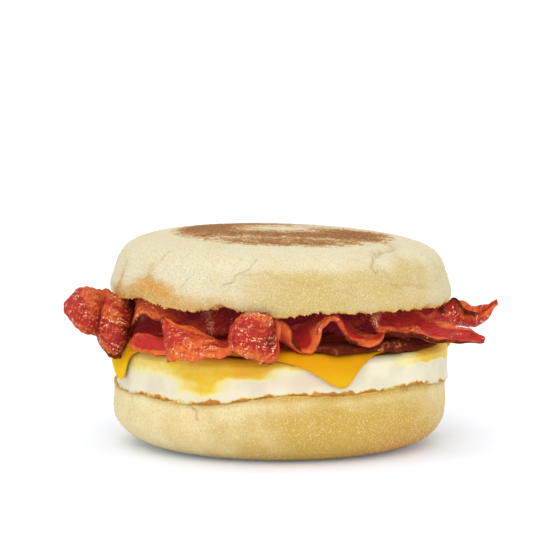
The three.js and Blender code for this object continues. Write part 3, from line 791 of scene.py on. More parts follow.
def cheese_point(s, reach, angle, lift):
    """Points of the cheese that lie `reach` from the centre of the flat slice, measured over the
    egg's top and down its side, and `lift` above the slice's middle. Beyond the egg's edge the slice
    swings round a little, and its front edge is tucked in."""
    above = CHEESE_GAP + s.cheese_thickness / 2 + lift
    bend = EGG_TOP_ROUNDING + CHEESE_GAP + s.cheese_thickness / 2
    swung = angle + CHEESE_SWING * rise(reach, s.egg_radius, s.cheese_side * math.sqrt(0.5))
    reach = reach - soft_spots(swung, reach, CHEESE_TUCK)
    flat = s.egg_radius * egg_outline(swung) - EGG_TOP_ROUNDING + CHEESE_SLACK
    turn = np.clip((reach - flat) / bend, 0, math.pi / 2)
    hang = np.maximum(reach - flat - bend * math.pi / 2, 0)
    radius = np.minimum(reach, flat) + (EGG_TOP_ROUNDING + above) * np.sin(turn)
    drop = (EGG_TOP_ROUNDING + above) * np.cos(turn) - EGG_TOP_ROUNDING - hang
    return np.stack([radius * np.cos(swung), radius * np.sin(swung), s.egg_top + drop], -1)


def edge_crowded(count):
    """Numbers from -1 to 1 that lie closer together towards both ends."""
    t = np.linspace(-1, 1, count)
    return 0.45 * t + 0.55 * np.sin(t * math.pi / 2)


def rounded_half(u, v, half, power):
    """Half the thickness of a sheet whose edges, at u or v of -1 or 1, are rounded off."""
    return half * np.sqrt(np.clip((1 - np.abs(u) ** power) * (1 - np.abs(v) ** power), 0, 1))


def cheese_grid(s, count):
    """The cheese's middle surface: a square with rounded corners, turned, and draped by
    cheese_point. Returns it with the square's own coordinates from -1 to 1."""
    u, v = np.meshgrid(edge_crowded(count), edge_crowded(count), indexing="ij")
    square = np.maximum(np.abs(u), np.abs(v))
    power = CHEESE_CORNER_POWER
    rounded = (np.abs(u) ** power + np.abs(v) ** power) ** (1 / power)
    scale = np.where(square > 0, square / np.maximum(rounded, 1e-9), 0) * s.cheese_side / 2
    cos, sin = math.cos(CHEESE_TURN), math.sin(CHEESE_TURN)
    x = (u * cos - v * sin) * scale + CHEESE_OFFSET
    y = (u * sin + v * cos) * scale
    sag = 0.12 * noise(x, y, 0 * x, 11.0, 141)
    return cheese_point(s, np.hypot(x, y), np.arctan2(y, x), sag), u, v


# Shapes of the bacon

def waves(start_x, end_x, count, near, far, slant=3.4, start=0.0):
    """Folds of waves between two x positions. `near` and `far` give each edge's y and its lowest
    and highest z. Each wave takes a crest, a trough and the two slopes between them."""
    i = np.arange(int(4 * count) + 1)
    x = start_x + (end_x - start_x) * i / (4 * count)
    swing = np.cos(i * math.pi / 2 + start) * (0.86 + 0.14 * np.sin(2.3 * i))
    skew = slant + 1.2 * np.sin(1.7 * i)

    def height(edge):
        """The edge's z, which swings between its lowest and its highest."""
        return edge[1] + (edge[2] - edge[1]) * (swing + 1) / 2

    level = np.zeros_like(x)
    near_edge = [x - skew, level + near[0], height(near)]
    far_edge = [x + skew, level + far[0], height(far)]
    return np.stack([*near_edge, *far_edge, level], 1).tolist()


def under_folds(s):
    """Folds of the strip that follows the egg's front rim; its far edge stands up at the left, and
    its near edge is drawn back in the middle and hangs over the cheese at the right."""
    angle = np.radians(np.linspace(-150.5, -13, 17))
    degrees = np.degrees(angle)
    hump = bump_at(angle, -143, 15)
    hang = rise(degrees, -87, -78) * (1 - rise(degrees, -60, -38))
    pulled = 4 * bump_at(angle, -115, 6) + 13.4 * bump_at(angle, -91, 14) * (1 - hang)
    near = UNDER_REACH + 2.9 * hump + 1.9 * hang - pulled
    far = near - UNDER_WIDTH * (1 - 0.8 * hump) - 4 * hang
    x, y = np.cos(angle), np.sin(angle)
    top = np.full_like(x, s.egg_top)
    near_edge = [near * x, near * y, top + 1.1 * hang]
    far_edge = [far * x, far * y, top + UNDER_HUMP * hump]
    return np.stack([*near_edge, *far_edge, hump], 1)


def middle_folds():
    """Folds of the strip that runs through the sandwich, from its lobes at the left to its fan."""
    return [
        *MIDDLE_LEFT_FOLDS,
        *MIDDLE_HOOD_FOLDS,
        *waves(-8, 20, 1.5, (-27, 33.6, 36.4), (-12, 39.0, 41.2), slant=1, start=math.pi),
        *MIDDLE_RIGHT_FOLDS,
    ]


def inner_folds():
    """Folds of the strip behind it, whose end sticks out at the right as a gutter."""
    return [
        *waves(-44, -30, 1, (-17, 30.0, 31.0), (4, 39.6, 41.4), slant=1, start=0.75 * math.pi),
        *waves(-24, 6, 1.5, (-2, 31.8, 33.8), (12, 39.6, 41.4), slant=1, start=0.75 * math.pi),
        *waves(14, 34, 1.5, (-15, 31.8, 33.8), (6, 39.6, 41.4), slant=1, start=0.75 * math.pi),
        *INNER_RIGHT_FOLDS,
    ]


def back_folds():
    """Folds of the strip along the back, with a narrow end on each side."""
    return [
        [-43.0, 28.5, 34.6, -45.0, 34.0, 36.4, 0],
        *waves(-38.5, 38.5, 4, (21, 33, 34.8), (42, 34, 40.4), slant=-3),
        [45.0, 29.0, 35.2, 43.5, 35.0, 37.6, 0],
    ]


def eased(a, b):
    """The larger of two heights, with the corner between them rounded off."""
    return (a + b + np.hypot(a - b, 0.3)) / 2


def strip_floor(s, x, y):
    """Least height of a strip's middle above the egg and, where it lies under, the cheese."""
    cos, sin = math.cos(-CHEESE_TURN), math.sin(-CHEESE_TURN)
    flat_x = (x - CHEESE_OFFSET) * cos - y * sin
    flat_y = (x - CHEESE_OFFSET) * sin + y * cos
    inside = s.cheese_side / 2 - np.maximum(np.abs(flat_x), np.abs(flat_y))
    cheese = rise(inside, -4.4, -1.8) * CHEESE_ROOM
    beyond = np.maximum(np.hypot(x, y) - s.egg_radius * 1.01 + EGG_TOP_ROUNDING, 0)
    above = EGG_TOP_ROUNDING + cheese + GAP + s.bacon_thickness / 2
    return s.egg_top - EGG_TOP_ROUNDING + np.sqrt(np.maximum(above**2 - beyond**2, 0))


def strip_ceiling(s, x, y):
    """Greatest height of a strip's middle below the upper muffin half."""
    reach = np.hypot(x, y)
    open_air = np.where(reach > s.crown_radius, 20 * (reach - s.crown_radius), 0)
    hollow = CROWN_HOLLOW * (1 - rise(reach, 38, 46))
    return s.crown_floor + hollow + open_air - x * math.tan(CROWN_LEAN) - s.bacon_thickness / 2


def unit(vectors):
    """Vectors of length 1."""
    return vectors / np.maximum(np.linalg.norm(vectors, axis=-1, keepdims=True), 1e-9)


def strip_grid(s, folds, along, across, rippled):
    """A strip's middle surface: between its near and far edge, which follow the folds, it bulges
    as a parabola, its edges ripple, and it stays between its floor and its ceiling."""
    folds = np.asarray(folds, float)
    fold = smooth_through(folds, along)
    near, far, bulge = fold[:, :3], fold[:, 3:6], fold[:, 6]
    ahead = unit(smooth_through(folds, along + 0.002)[:, :3] - near)
    side = unit(np.cross(ahead + [1, 0, 0], far - near))
    a = across[None, :]
    turns = along[:, None] * len(folds) * FOLD_SPACING / RIPPLE_LENGTH
    ripple = rippled * RIPPLE_HEIGHT * np.abs(2 * a - 1) ** 3 * np.sin(2 * math.pi * turns + 4 * a)
    hump = 4 * a * (1 - a) * bulge[:, None]
    points = near[:, None] + (far - near)[:, None] * a[..., None]
    points = points + side[:, None] * (hump + ripple)[..., None]
    x, y, z = points[..., 0], points[..., 1], points[..., 2]
    z = eased(z, strip_floor(s, x, y))
    z = -eased(-z, -strip_ceiling(s, x, y))
    return np.stack([x, y, z], 2)


def bend(points, stride, axis):
    """How far each point of a grid stands out from the chord between its neighbours `stride` steps
    away along one axis, measured along the normal."""
    place = np.arange(points.shape[axis])
    before = np.take(points, np.clip(place - stride, 0, place[-1]), axis)
    after = np.take(points, np.clip(place + stride, 0, place[-1]), axis)
    return np.einsum("ijk,ijk->ij", 2 * points - before - after, grid_normal(points))


def steered(place, bells):
    """Sum of bells along a strip, each around a fold's number, with its spread and its height."""
    return sum(high * np.exp(-(((place - at) / wide) ** 2)) for at, wide, high in bells) + 0 * place


def bacon_strip(s, name, folds, seed, rippled=1.0):
    """A strip of bacon: its middle surface with lumps and two skins that carry fibres along the strip,
    blisters where a fold bulges outwards, and ragged edges. Marks tell fat from lean, moist blisters
    that take painted glints from smooth meat, how dark the meat is, with painted shade in folds that
    turn into shade and in hollows, and where a painted highlight goes."""
    spans = len(folds) - 1
    along = np.linspace(0, 1, ROWS_PER_FOLD * spans + 1) * STRIP_END
    across = (edge_crowded(STRIP_COLUMNS) + 1) / 2
    middle = strip_grid(s, folds, along, across, rippled)
    steps = np.linalg.norm(np.diff(middle[:, STRIP_COLUMNS // 2], axis=0), axis=1)
    walked = np.concatenate([[0], np.cumsum(steps)])[:, None] + 0 * across
    aside = np.linalg.norm(middle[:, -1] - middle[:, 0], axis=1)[:, None] * across
    depth = 0 * walked + seed * 7.3

    def spread(size, shift, longer=1.0, wider=1.0):
        """Noise over the strip as it would lie flat, drawn out along it and across it."""
        return noise(walked / longer, aside / wider, depth, size, seed + shift)

    def edgewise(size, shift):
        """Noise that changes only along the strip."""
        return noise(walked, depth, 0 * depth, size, seed + shift)

    ragged = 0.5 * edgewise(3.2, 0) + 0.5 * edgewise(1.3, 1)
    reach = rise(np.abs(2 * across - 1), 0.6, 1.0)
    direction = unit(middle[:, -1:] - middle[:, :1])
    drawn_in = np.sign(2 * across - 1) * reach * (0.2 + 0.7 * ragged)
    middle = middle - direction * drawn_in[..., None]
    swell = sum(high * spread(wide, 12 + i) for i, (high, wide) in enumerate(SWELLS))
    middle = middle + grid_normal(middle) * (rippled * swell)[..., None]
    bulge = bend(middle, 8, 0) + 0.6 * bend(middle, 9, 1)
    u = 2 * along[:, None] / along[-1] - 1
    v = 2 * across[None, :] - 1
    half = rounded_half(
        np.broadcast_to(u, walked.shape), v, s.bacon_thickness / 2, STRIP_EDGE_POWER)
    half = half * (1 + 0.22 * spread(5.0, 2))
    place = along[:, None] * spans + 0 * across
    gloss_and_painted_shine = steered(place, GLOSS_AND_PAINTED_SHINE.get(name, []))
    reliefs = []
    # Moist, glossy blisters bulge outwards or sit on the swells' crests; the finish paints glints and
    # lit and shaded flanks where this mark is high
    wet_and_glint = []
    for skin, outer in ((0, bulge), (20, -bulge)):
        blistered = rise(outer + 0.6 * spread(7.0, skin + 15) + 0.5 * swell, -0.1, 0.9)
        blisters = BLISTER_HEIGHT * rough(walked, aside, depth, BLISTER_SIZE, seed + skin + 5)
        blisters = blisters * (0.2 + 0.8 * blistered) * (0.4 + 0.6 * rippled)
        reliefs.append(FIBRE_HEIGHT * spread(1.0, skin + 3, longer=5) + blisters)
        wet_and_glint.append(np.clip(blistered + gloss_and_painted_shine, 0, 1.3))
    border = rise(np.abs(v) + 0.35 * spread(6.0, 8), 0.42, 0.85)
    streaks = 0.9 * rise(spread(3.6, 7, longer=3, wider=1.5), 0.15, 0.55)
    fat = np.clip(border + streaks - 0.25 + steered(place, FATTY.get(name, [])), 0, 1)
    burnt_and_shaded = rise(np.abs(v) + 0.10 * edgewise(4.0, 9), 0.90, 1.02)
    burnt_and_shaded = burnt_and_shaded * (0.3 + 0.7 * rise(edgewise(9.0, 10), -0.2, 0.5))
    burnt_and_shaded = burnt_and_shaded + steered(place, CHARRED.get(name, [])) * rise(-v, 0.72, 0.95)
    # Painted shade: DARK_AND_SHADED also darkens folds that turn into shade, and the hollows between
    # the swells are darkened
    burnt_and_shaded = burnt_and_shaded + steered(place, DARK_AND_SHADED.get(name, [])) + 0.5 * rippled * rise(-swell, 0.05, 0.5)
    burnt_and_shaded = np.clip(burnt_and_shaded, 0, 1)
    # Painted highlight: pale streaks where GLOSS_AND_PAINTED_SHINE is high
    painted_shine = rise(gloss_and_painted_shine, 0.6, 0.85)
    marks = {"fat": (fat, fat), "crisp_and_shade": (burnt_and_shaded, burnt_and_shaded), "wet_and_glint": tuple(wet_and_glint), "painted_shine": (painted_shine, painted_shine)}
    flow = np.stack([walked, aside], 2) * MM
    return pillow_piece(f"bacon_strip_{name}", middle, half, reliefs, marks, flow)


# Finishes

class Term:
    """A shader output that takes part in Python sums: each operator adds one Math node."""

    def __init__(self, finish, socket):
        self.finish = finish
        self.socket = socket

    def math(self, operation, first, second=0.0):
        """Adds a Math node that works on two values."""
        return self.finish.node("ShaderNodeMath", {"operation": operation}, {0: first, 1: second})

    def __add__(self, other):
        return self.math("ADD", self, other)

    __radd__ = __add__

    def __sub__(self, other):
        return self.math("SUBTRACT", self, other)

    def __rsub__(self, other):
        return self.math("SUBTRACT", other, self)

    def __mul__(self, other):
        return self.math("MULTIPLY", self, other)

    __rmul__ = __mul__

    def between(self, low, high):
        """Rises smoothly from 0 to 1 as this value goes from low to high."""
        return self.finish.node("ShaderNodeMapRange", {"interpolation_type": "SMOOTHSTEP"},
                                {"Value": self, "From Min": low, "From Max": high})


class Finish:
    """A material whose nodes are added by Python calls."""

    def __init__(self, name, uniform):
        self.material = bpy.data.materials.new(name)
        self.material.use_nodes = True
        self.tree = self.material.node_tree
        self.shader = self.tree.nodes["Principled BSDF"]
        for key, value in uniform.items():
            self.shader.inputs[key].default_value = value
        self.place = self.node("ShaderNodeTexCoord", {}, {}, "Object")

    def node(self, kind, settings, values, output=0):
        """Adds a node, with its settings first and then its inputs, and returns one output."""
        node = self.tree.nodes.new(kind)
        for key, value in settings.items():
            setattr(node, key, value)
        for key, value in values.items():
            self.feed(node.inputs[key], value)
        return Term(self, node.outputs[output])

    def feed(self, socket, value):
        """Links an output to an input, or sets its number."""
        if isinstance(value, Term):
            self.tree.links.new(value.socket, socket)
        elif socket.type == "RGBA":
            socket.default_value = (*value[:3], 1.0)
        else:
            socket.default_value = value

    def mark(self, name):
        """A value that the piece's points carry."""
        settings = {"attribute_type": "GEOMETRY", "attribute_name": name}
        return self.node("ShaderNodeAttribute", settings, {}, "Fac")

    def stretched(self, place, x, y, z):
        """Coordinates scaled along each axis."""
        return self.node("ShaderNodeMapping", {}, {"Vector": place, "Scale": (x, y, z)})

    def moved(self, place, x, y):
        """Coordinates shifted by x and y millimetres."""
        return self.node("ShaderNodeMapping", {}, {"Vector": place, "Location": (x * MM, y * MM, 0)})

    def noise(self, size, detail=2.0, place=None, roughness=0.5):
        """Noise whose lumps are about `size` millimetres across, from 0 to 1."""
        return self.node("ShaderNodeTexNoise", {}, {
            "Vector": place or self.place, "Scale": 1 / (size * MM), "Detail": detail,
            "Roughness": roughness})

    def mix(self, mask, first, second):
        """Goes from the first colour to the second as the mask rises."""
        return self.node("ShaderNodeMix", {"data_type": "RGBA"}, {0: mask, 6: first, 7: second}, 2)

    def bumps(self, height, distance, strength=1.0):
        """Raises the surface by a height from 0 to 1 times a distance in millimetres."""
        values = {"Height": height, "Distance": distance * MM, "Strength": strength}
        self.feed(self.shader.inputs["Normal"], self.node("ShaderNodeBump", {}, values))

    def paint(self, colour_value, roughness=None):
        """Sets the colour, and the roughness where it varies."""
        self.feed(self.shader.inputs["Base Color"], colour_value)
        if roughness is not None:
            self.feed(self.shader.inputs["Roughness"], roughness)
        return self.material


def crust_finish(c, name, flour, crust, toasted):
    """Floured crust: clouds of flour over barer crust, orange stains, a sandy grain, painted shade in
    the cracks, golden torn crumb and, on top, a toasted ring of light and dark streaks."""
    f = Finish(name, {"Roughness": 0.9, "Specular IOR Level": 0.2, "Subsurface Weight": 0.06,
                      "Subsurface Scale": 0.003})
    sand = f.noise(0.42, 2.0, roughness=0.6)
    bare = (f.mark("bare") + 0.9 * f.noise(8.0, 4.0) + 0.4 * sand - 0.7).between(0.0, 1.0)
    tone = f.mix(bare, flour, crust)
    heat = (f.mark("scorch") + 1.2 * f.noise(3.0, 5.0, roughness=0.7) - 0.6).between(0.05, 1.2)
    tone = f.mix(heat, tone, c.golden)
    if toasted:
        streaks = f.noise(3.8, 5.0, roughness=0.68)
        fine = f.noise(0.9, 3.0, roughness=0.6)
        toast = f.mark("toast") + 2.0 * streaks + 2.2 * fine - 2.05
        marked = f.mark("toast").between(0.02, 0.25)
        tone = f.mix(toast.between(0.0, 0.8) * marked, tone, c.toast)
        tone = f.mix(toast.between(0.4, 1.1) * marked, tone, c.char)
    tone = f.mix(0.4 * sand.between(0.54, 0.68), tone, PALE_SAND)
    tone = f.mix(0.42 * sand.between(0.46, 0.32), tone, DARK_SAND)
    # Painted shade: the cracks are darker the deeper they are cut
    tone = f.mix(0.4 * f.mark("crack"), tone, PAINTED_CRACK_SHADE)
    edge = (f.mark("edge") + 0.9 * f.noise(2.2, 3.0) - 0.45).between(0.3, 0.9)
    tone = f.mix(0.55 * edge, tone, RIM_GOLD)
    tone = f.mix(f.mark("torn"), tone, c.crumb)
    f.bumps(sand + 0.6 * f.noise(1.5, 3.0), 0.28, 0.9)
    return f.paint(tone)


def grain_finish(c):
    """Dry cornmeal, some grains paler than others."""
    f = Finish("cornmeal", {"Roughness": 0.6, "Specular IOR Level": 0.4})
    return f.paint(f.mix(f.noise(3.0, 2.0).between(0.35, 0.65), c.grain, c.flour))


def crumb_finish(c):
    """Torn crumb, golden on its tips."""
    f = Finish("torn crumb", {"Roughness": 0.85, "Specular IOR Level": 0.2})
    f.bumps(f.noise(0.5, 3.0), 0.2, 0.6)
    return f.paint(f.mix(f.noise(2.0, 3.0).between(0.45, 0.75), c.crumb, c.golden))


def egg_finish(c):
    """Soft egg white with yolk under the skin, thick in places, and a browned lacy lip."""
    f = Finish("cooked egg", {"Specular IOR Level": 0.25, "Subsurface Weight": 0.15,
                              "Subsurface Scale": 0.003})
    tone = f.mix(f.noise(7.0, 2.0).between(0.4, 0.7), c.white, WARM_WHITE)
    tone = f.mix(0.6 * f.mark("rosy"), tone, ROSY_WHITE)
    speckle = f.noise(1.8, 5.0, roughness=0.65)
    yolk = f.mark("yolk") + 0.7 * speckle - 0.35
    tone = f.mix(0.8 * yolk.between(0.0, 0.6), tone, PALE_YOLK)
    tone = f.mix(yolk.between(0.35, 1.15), tone, c.yolk)
    tone = f.mix((f.mark("amber") + 0.5 * speckle - 0.25).between(0.1, 1.0), tone, c.amber)
    lace = f.mark("lace") + 1.1 * f.noise(0.9, 4.0) - 0.6
    tone = f.mix(0.85 * lace.between(0.12, 0.42), tone, LIP_GOLD)
    tone = f.mix(lace.between(0.4, 0.8), tone, c.browned)
    fried = (f.mark("lace") + 1.6 * f.noise(2.4, 4.0) - 0.8).between(0.76, 1.05)
    tone = f.mix(0.8 * fried, tone, LIP_BROWN)
    f.bumps(f.noise(1.4, 4.0, roughness=0.6), 0.16, 0.5)
    return f.paint(tone, 0.4 + 0.2 * f.noise(2.0, 2.0))


def cheese_finish(c):
    """Melted cheese: even colour with faint clouds, yellower where it hangs, and no specular sheen."""
    f = Finish("melted cheese", {"Specular IOR Level": 0.0, "Subsurface Weight": 0.12,
                                 "Subsurface Scale": 0.002})
    tone = f.mix(f.noise(12.0, 2.0).between(0.35, 0.7), c.cheese, CHEESE_CLOUD)
    tone = f.mix(0.9 * f.mark("hanging"), tone, HANGING_CHEESE)
    f.bumps(f.noise(4.0, 3.0), 0.15, 0.4)
    return f.paint(tone, 0.42 + 0.14 * f.noise(5.0, 2.0))


def bacon_finish(c):
    """Fried bacon: lean and fat streaks along the strip, charred edges that also carry painted shade,
    and moist blisters with painted glints in small sharp points. Beads of fat get painted shade on
    their far flanks and a painted highlight on the flanks that face up and left; a flank is told by how
    the beads' height changes over a short shift. A faint red emitted glow, painted light that lifts the
    shaded hollows, stands in for the light that meat lets through."""
    f = Finish("fried bacon", {"Specular IOR Level": 0.14, "Emission Strength": 1.0})
    flow = f.node("ShaderNodeUVMap", {"uv_map": "flow"}, {})
    fibres = f.noise(1.3, 4.0, f.stretched(flow, 0.22, 1.0, 1.0), 0.6)
    mottled = f.noise(1.6, 4.0, flow, 0.6)
    fat = (f.mark("fat") + 0.8 * fibres + 1.3 * mottled - 1.05).between(0.1, 0.9)
    lean = f.mix(f.noise(1.9, 3.0, flow).between(0.42, 0.66), c.lean, DEEP_LEAN)
    rind = f.mix(f.noise(2.2, 3.0, flow).between(0.35, 0.65), c.fat, RED_RIND)
    tone = f.mix(fat, lean, rind)
    # Darkest colour for charred edges and, as painted shade, for folds that turn into shade and the
    # hollows between swells
    crisp_and_shade = (f.mark("crisp_and_shade") * (0.45 + f.noise(1.2, 3.0, flow))).between(0.2, 0.95)
    tone = f.mix(crisp_and_shade, tone, c.crisp_and_shade)
    # Painted light: the meat emits a faint red glow, weaker where it is darkest, that lifts its shaded
    # hollows
    f.feed(f.shader.inputs["Emission Color"], f.mix(crisp_and_shade, MEAT_GLOW, CRISP_GLOW))
    beads = f.noise(1.5, 4.0, flow, 0.6)
    slope = beads - f.noise(1.5, 4.0, f.moved(flow, -0.3, 0.35), 0.6)
    wet_and_glint = (f.mark("wet_and_glint") + 1.2 * f.noise(2.6, 3.0, flow) - 0.7).between(0.2, 0.85)
    # Painted shade on the beads' far flanks and a painted highlight on the flanks that face up and left
    tone = f.mix(0.6 * wet_and_glint * slope.between(-0.02, -0.14), tone, SHADED_MEAT)
    tone = f.mix(0.4 * wet_and_glint * slope.between(0.0, 0.14), tone, LIT_MEAT)
    # Painted glints: pale points on the lit flanks in patches, and painted pale streaks where the
    # painted_shine mark is set
    grit = f.noise(0.42, 2.0, flow, 0.6).between(0.50, 0.60)
    patches = f.noise(3.6, 2.0, flow).between(0.45, 0.56)
    glints = 1.3 * wet_and_glint * slope.between(0.0, 0.09) * grit * patches
    glints = glints + 0.8 * f.mark("painted_shine") * f.noise(0.8, 3.0, flow, 0.7).between(0.46, 0.58)
    tone = f.mix((glints * (1 - 0.7 * crisp_and_shade)).between(0.0, 1.05), tone, GLINT)
    f.bumps(beads * (0.25 + wet_and_glint) + 0.4 * fibres, 0.6, 1.0)
    return f.paint(tone, 0.55 - 0.25 * wet_and_glint + 0.55 * crisp_and_shade)


# Loose bits

def scatter(name, centres, normals, sizes, seed):
    """Joins one small uneven octahedron for each centre, half sunk in the surface it lies on."""
    random = np.random.default_rng(seed)
    corners = np.array([[1, 0, 0], [0, 1, 0], [-1, 0, 0], [0, -1, 0], [0, 0, 1], [0, 0, -1]], float)
    sides = np.array([
        [0, 1, 4], [1, 2, 4], [2, 3, 4], [3, 0, 4], [1, 0, 5], [2, 1, 5], [3, 2, 5], [0, 3, 5]])
    count = len(centres)
    shape = corners * random.uniform(0.55, 1.0, (count, 6, 1)) * sizes[:, None, None] / 2
    turn = unit(random.normal(size=(count, 3)))
    first = unit(np.cross(turn, normals))
    second = np.cross(normals, first)
    axes = np.stack([first, second, normals], 1)
    points = centres[:, None] + np.einsum("nij,njk->nik", shape, axes)
    faces = (sides[None] + 6 * np.arange(count)[:, None, None]).reshape(-1, 3)
    piece = new_piece(name, points.reshape(-1, 3), faces.tolist())
    piece.data.shade_flat()
    return piece


def picked(points, weight, count, seed):
    """Centres and normals of grid points drawn at random, more often where the weight is high."""
    random = np.random.default_rng(seed)
    spacing = np.linalg.norm(np.roll(points, -1, axis=1) - points, axis=2)
    chance = (weight * spacing).ravel()
    chosen = random.choice(chance.size, count, p=chance / chance.sum())
    centres = points.reshape(-1, 3)[chosen]
    normals = outward(points).reshape(-1, 3)[chosen]
    jitter = random.uniform(-0.3, 0.3, (count, 3))
    return centres + jitter * (1 - np.abs(normals)), normals


def grain_sizes(count, largest, seed):
    """Uneven sizes, with many small grains and few large ones."""
    return largest * (0.35 + 0.65 * np.random.default_rng(seed).random(count) ** 2)


def crown_dust(points, marks):
    """How thickly cornmeal lies on the upper half: in patches on its untoasted side, most at the
    front."""
    x, y, z = np.moveaxis(points, 2, 0)
    patches = rise(noise(x, y, z, 9.0, 301), -0.4, 0.6) + 0.1
    untoasted = 1 - np.clip(marks["toast"], 0, 1)
    facing = 0.4 + bump_at(np.arctan2(y, x), -70, 45)
    return (1 - marks["torn"]) * untoasted * patches * facing * rise(z, 61, 52)


def heel_dust(points, marks):
    """How thickly cornmeal lies on the lower half: in patches, most below its middle."""
    x, y, z = np.moveaxis(points, 2, 0)
    patches = rise(noise(x, y, z, 8.0, 303), -0.5, 0.5) + 0.15
    return (1 - marks["torn"]) * patches * rise(z, 0.6, 1.6) * rise(z, 20, 12)


def rim_crumbs(points, marks):
    """How thickly crumbs lie along the upper half's torn rim."""
    x, y, z = np.moveaxis(points, 2, 0)
    return rise(np.hypot(x, y), 43, 46) * rise(z, 45.5, 43.0) * marks["torn"]


# Operators

class SANDWICH_OT_add_heel(bpy.types.Operator):
    """Adds the lower muffin half"""

    bl_idname = "sandwich.add_heel"
    bl_label = "Lower Muffin"

    def execute(self, context):
        points, marks = heel_points(millimetres(context))
        piece = round_piece("lower_muffin", points, marks)
        c = context.scene.sandwich_colours
        finish = crust_finish(c, "lower crust", c.heel_flour, c.heel_crust, toasted=False)
        add_to_sandwich(piece, finish, "muffin", "muffin_bottom")
        return {"FINISHED"}


class SANDWICH_OT_add_egg(bpy.types.Operator):
    """Adds the round egg"""

    bl_idname = "sandwich.add_egg"
    bl_label = "Egg"

    def execute(self, context):
        points, marks = egg_points(millimetres(context))
        piece = round_piece("round_egg", points, marks)
        add_to_sandwich(piece, egg_finish(context.scene.sandwich_colours), "egg", "egg")
        return {"FINISHED"}


class SANDWICH_OT_add_cheese(bpy.types.Operator):
    """Adds the draped cheese slice"""

    bl_idname = "sandwich.add_cheese"
    bl_label = "Cheese"

    def execute(self, context):
        s = millimetres(context)
        middle, u, v = cheese_grid(s, CHEESE_GRID)
        half = rounded_half(u, v, s.cheese_thickness / 2, CHEESE_EDGE_POWER)
        smooth = np.zeros_like(half)
        hanging = rise(middle[..., 2], s.egg_top, s.egg_top - 7)
        hanging = hanging * (0.5 + 0.5 * rise(-middle[..., 0], 10, 35))
        marks = {"hanging": (hanging, hanging)}
        flow = np.stack([u, v], 2) * CHEESE_FLOW
        piece = pillow_piece("cheese_slice", middle, half, (smooth, smooth), marks, flow)
        add_to_sandwich(piece, cheese_finish(context.scene.sandwich_colours), "cheese", "cheese")
        return {"FINISHED"}


class SANDWICH_OT_add_bacon(bpy.types.Operator):
    """Adds the five strips of bacon"""

    bl_idname = "sandwich.add_bacon"
    bl_label = "Bacon"

    def execute(self, context):
        s = millimetres(context)
        finish = bacon_finish(context.scene.sandwich_colours)
        strips = [
            ("under", under_folds(s), 210, 0.0),
            ("front", FRONT_FOLDS, 230, 1.0),
            ("middle", middle_folds(), 250, 1.0),
            ("inner", inner_folds(), 270, 1.0),
            ("back", back_folds(), 290, 1.0),
        ]
        for name, folds, seed, rippled in strips:
            piece = bacon_strip(s, name, folds, seed, rippled)
            add_to_sandwich(piece, finish, "bacon", f"bacon_{name}")
        return {"FINISHED"}


class SANDWICH_OT_add_crown(bpy.types.Operator):
    """Adds the upper muffin half"""

    bl_idname = "sandwich.add_crown"
    bl_label = "Upper Muffin"

    def execute(self, context):
        points, marks = crown_points(millimetres(context))
        piece = round_piece("upper_muffin", points, marks)
        c = context.scene.sandwich_colours
        finish = crust_finish(c, "upper crust", c.flour, c.crown_crust, toasted=True)
        add_to_sandwich(piece, finish, "muffin", "muffin_top")
        return {"FINISHED"}


class SANDWICH_OT_add_dusting(bpy.types.Operator):
    """Adds cornmeal grains to the crust and crumbs to the upper half's torn rim"""

    bl_idname = "sandwich.add_dusting"
    bl_label = "Cornmeal and Crumbs"

    def execute(self, context):
        s = millimetres(context)
        d = context.scene.sandwich_dusting
        c = context.scene.sandwich_colours
        crown, crown_marks = crown_points(s)
        heel, heel_marks = heel_points(s)
        on_crown = picked(crown, crown_dust(crown, crown_marks), d.crown_grains, 302)
        on_heel = picked(heel, heel_dust(heel, heel_marks), d.heel_grains, 304)
        centres, normals = (np.concatenate(pair) for pair in zip(on_crown, on_heel))
        sizes = grain_sizes(len(centres), s.grain_size, 305)
        grains = scatter("cornmeal_grains", centres, normals, sizes, 306)
        add_to_sandwich(grains, grain_finish(c), "muffin")
        centres, normals = picked(crown, rim_crumbs(crown, crown_marks), d.rim_crumbs, 307)
        sizes = grain_sizes(len(centres), s.crumb_size, 308)
        crumbs = scatter("rim_crumbs", centres, normals, sizes, 309)
        add_to_sandwich(crumbs, crumb_finish(c), "muffin")
        return {"FINISHED"}


def add_light(name, kind, place, energy):
    """A light that faces the sandwich from a place in metres."""
    data = bpy.data.lights.new(name, kind)
    data.energy = energy
    light = bpy.data.objects.new(name, data)
    light.location = place
    light.rotation_euler = (Vector((0, 0, 0.04)) - Vector(place)).to_track_quat("-Z", "Y").to_euler()
    bpy.context.scene.collection.objects.link(light)
    return light


def add_floor(floor_colour):
    """A pale matt floor, which isn't part of the sandwich."""
    reach = FLOOR_REACH
    corners = [[-reach, -reach, 0], [reach, -reach, 0], [reach, reach, 0], [-reach, reach, 0]]
    floor = new_piece("studio_floor", corners, [[0, 1, 2, 3]])
    finish = Finish("studio floor", {
        "Roughness": 1.0, "Specular IOR Level": 0.0, "Emission Color": FLOOR_GLOW,
        "Emission Strength": FLOOR_GLOW_STRENGTH})
    floor.data.materials.append(finish.paint(tuple(floor_colour)))


def add_camera():
    """The camera that sees the sandwich as the photograph does."""
    data = bpy.data.cameras.new("photo_view")
    data.lens = VIEW_LENS
    data.clip_start = 0.01
    data.clip_end = 50
    camera = bpy.data.objects.new("photo_view", data)
    x, y, z = VIEW_TARGET
    back = VIEW_DISTANCE * math.cos(VIEW_ELEVATION)
    up = VIEW_DISTANCE * math.sin(VIEW_ELEVATION)
    camera.location = (x, y - back, z + up)
    camera.rotation_euler = (math.pi / 2 - VIEW_ELEVATION, 0, 0)
    bpy.context.scene.collection.objects.link(camera)
    bpy.context.scene.camera = camera


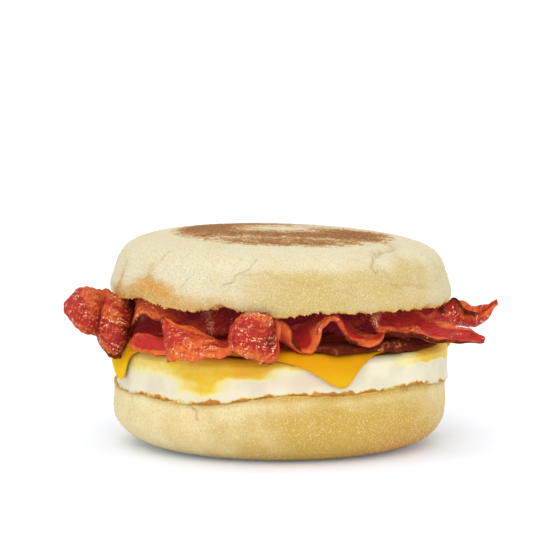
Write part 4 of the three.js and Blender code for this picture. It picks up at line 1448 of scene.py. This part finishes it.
class SANDWICH_OT_set_stage(bpy.types.Operator):
    """Sets the pale floor, the soft studio light and the camera"""

    bl_idname = "sandwich.set_stage"
    bl_label = "Stage"

    def execute(self, context):
        scene = context.scene
        add_floor(scene.sandwich_colours.floor)
        world = bpy.data.worlds.new("studio")
        world.use_nodes = True
        background = world.node_tree.nodes["Background"]
        background.inputs["Color"].default_value = (1, 1, 1, 1)
        background.inputs["Strength"].default_value = WORLD_STRENGTH
        scene.world = world
        for name, (place, strength, degrees) in SUNS.items():
            sun = add_light(name, "SUN", place, strength)
            sun.data.angle = math.radians(degrees)
        for place in LAMP_PLACES:
            lamp = add_light("glint_lamp", "AREA", place, LAMP_WATTS)
            lamp.data.size = LAMP_SIZE
            lamp.visible_diffuse = False
        scene.view_settings.view_transform = "Standard"
        add_camera()
        return {"FINISHED"}


class SANDWICH_PT_layers(bpy.types.Panel):
    """Lists the sandwich's layers and their sizes and colours"""

    bl_idname = "SANDWICH_PT_layers"
    bl_label = "Breakfast Sandwich"
    bl_space_type = "VIEW_3D"
    bl_region_type = "UI"
    bl_category = "Sandwich"

    def draw(self, context):
        for operator in OPERATORS:
            self.layout.operator(operator.bl_idname)
        scene = context.scene
        for group in (scene.sandwich_sizes, scene.sandwich_dusting, scene.sandwich_colours):
            column = self.layout.column()
            for name in group.__annotations__:
                column.prop(group, name)


GROUPS = {
    "sandwich_sizes": SandwichSizes,
    "sandwich_dusting": SandwichDusting,
    "sandwich_colours": SandwichColours,
}
OPERATORS = [
    SANDWICH_OT_add_heel,
    SANDWICH_OT_add_egg,
    SANDWICH_OT_add_cheese,
    SANDWICH_OT_add_bacon,
    SANDWICH_OT_add_crown,
    SANDWICH_OT_add_dusting,
    SANDWICH_OT_set_stage,
]


def register():
    """Registers the classes and gives the scene its groups of properties."""
    for kind in (*GROUPS.values(), *OPERATORS, SANDWICH_PT_layers):
        bpy.utils.register_class(kind)
    for name, group in GROUPS.items():
        setattr(bpy.types.Scene, name, bpy.props.PointerProperty(type=group))


def unregister():
    """Takes back what register did."""
    for name in GROUPS:
        delattr(bpy.types.Scene, name)
    for kind in reversed((*GROUPS.values(), *OPERATORS, SANDWICH_PT_layers)):
        bpy.utils.unregister_class(kind)


def main():
    """Builds the layers and the stage."""
    register()
    for operator in OPERATORS:
        group, action = operator.bl_idname.split(".")
        getattr(getattr(bpy.ops, group), action)()


if __name__ == "__main__":
    main()
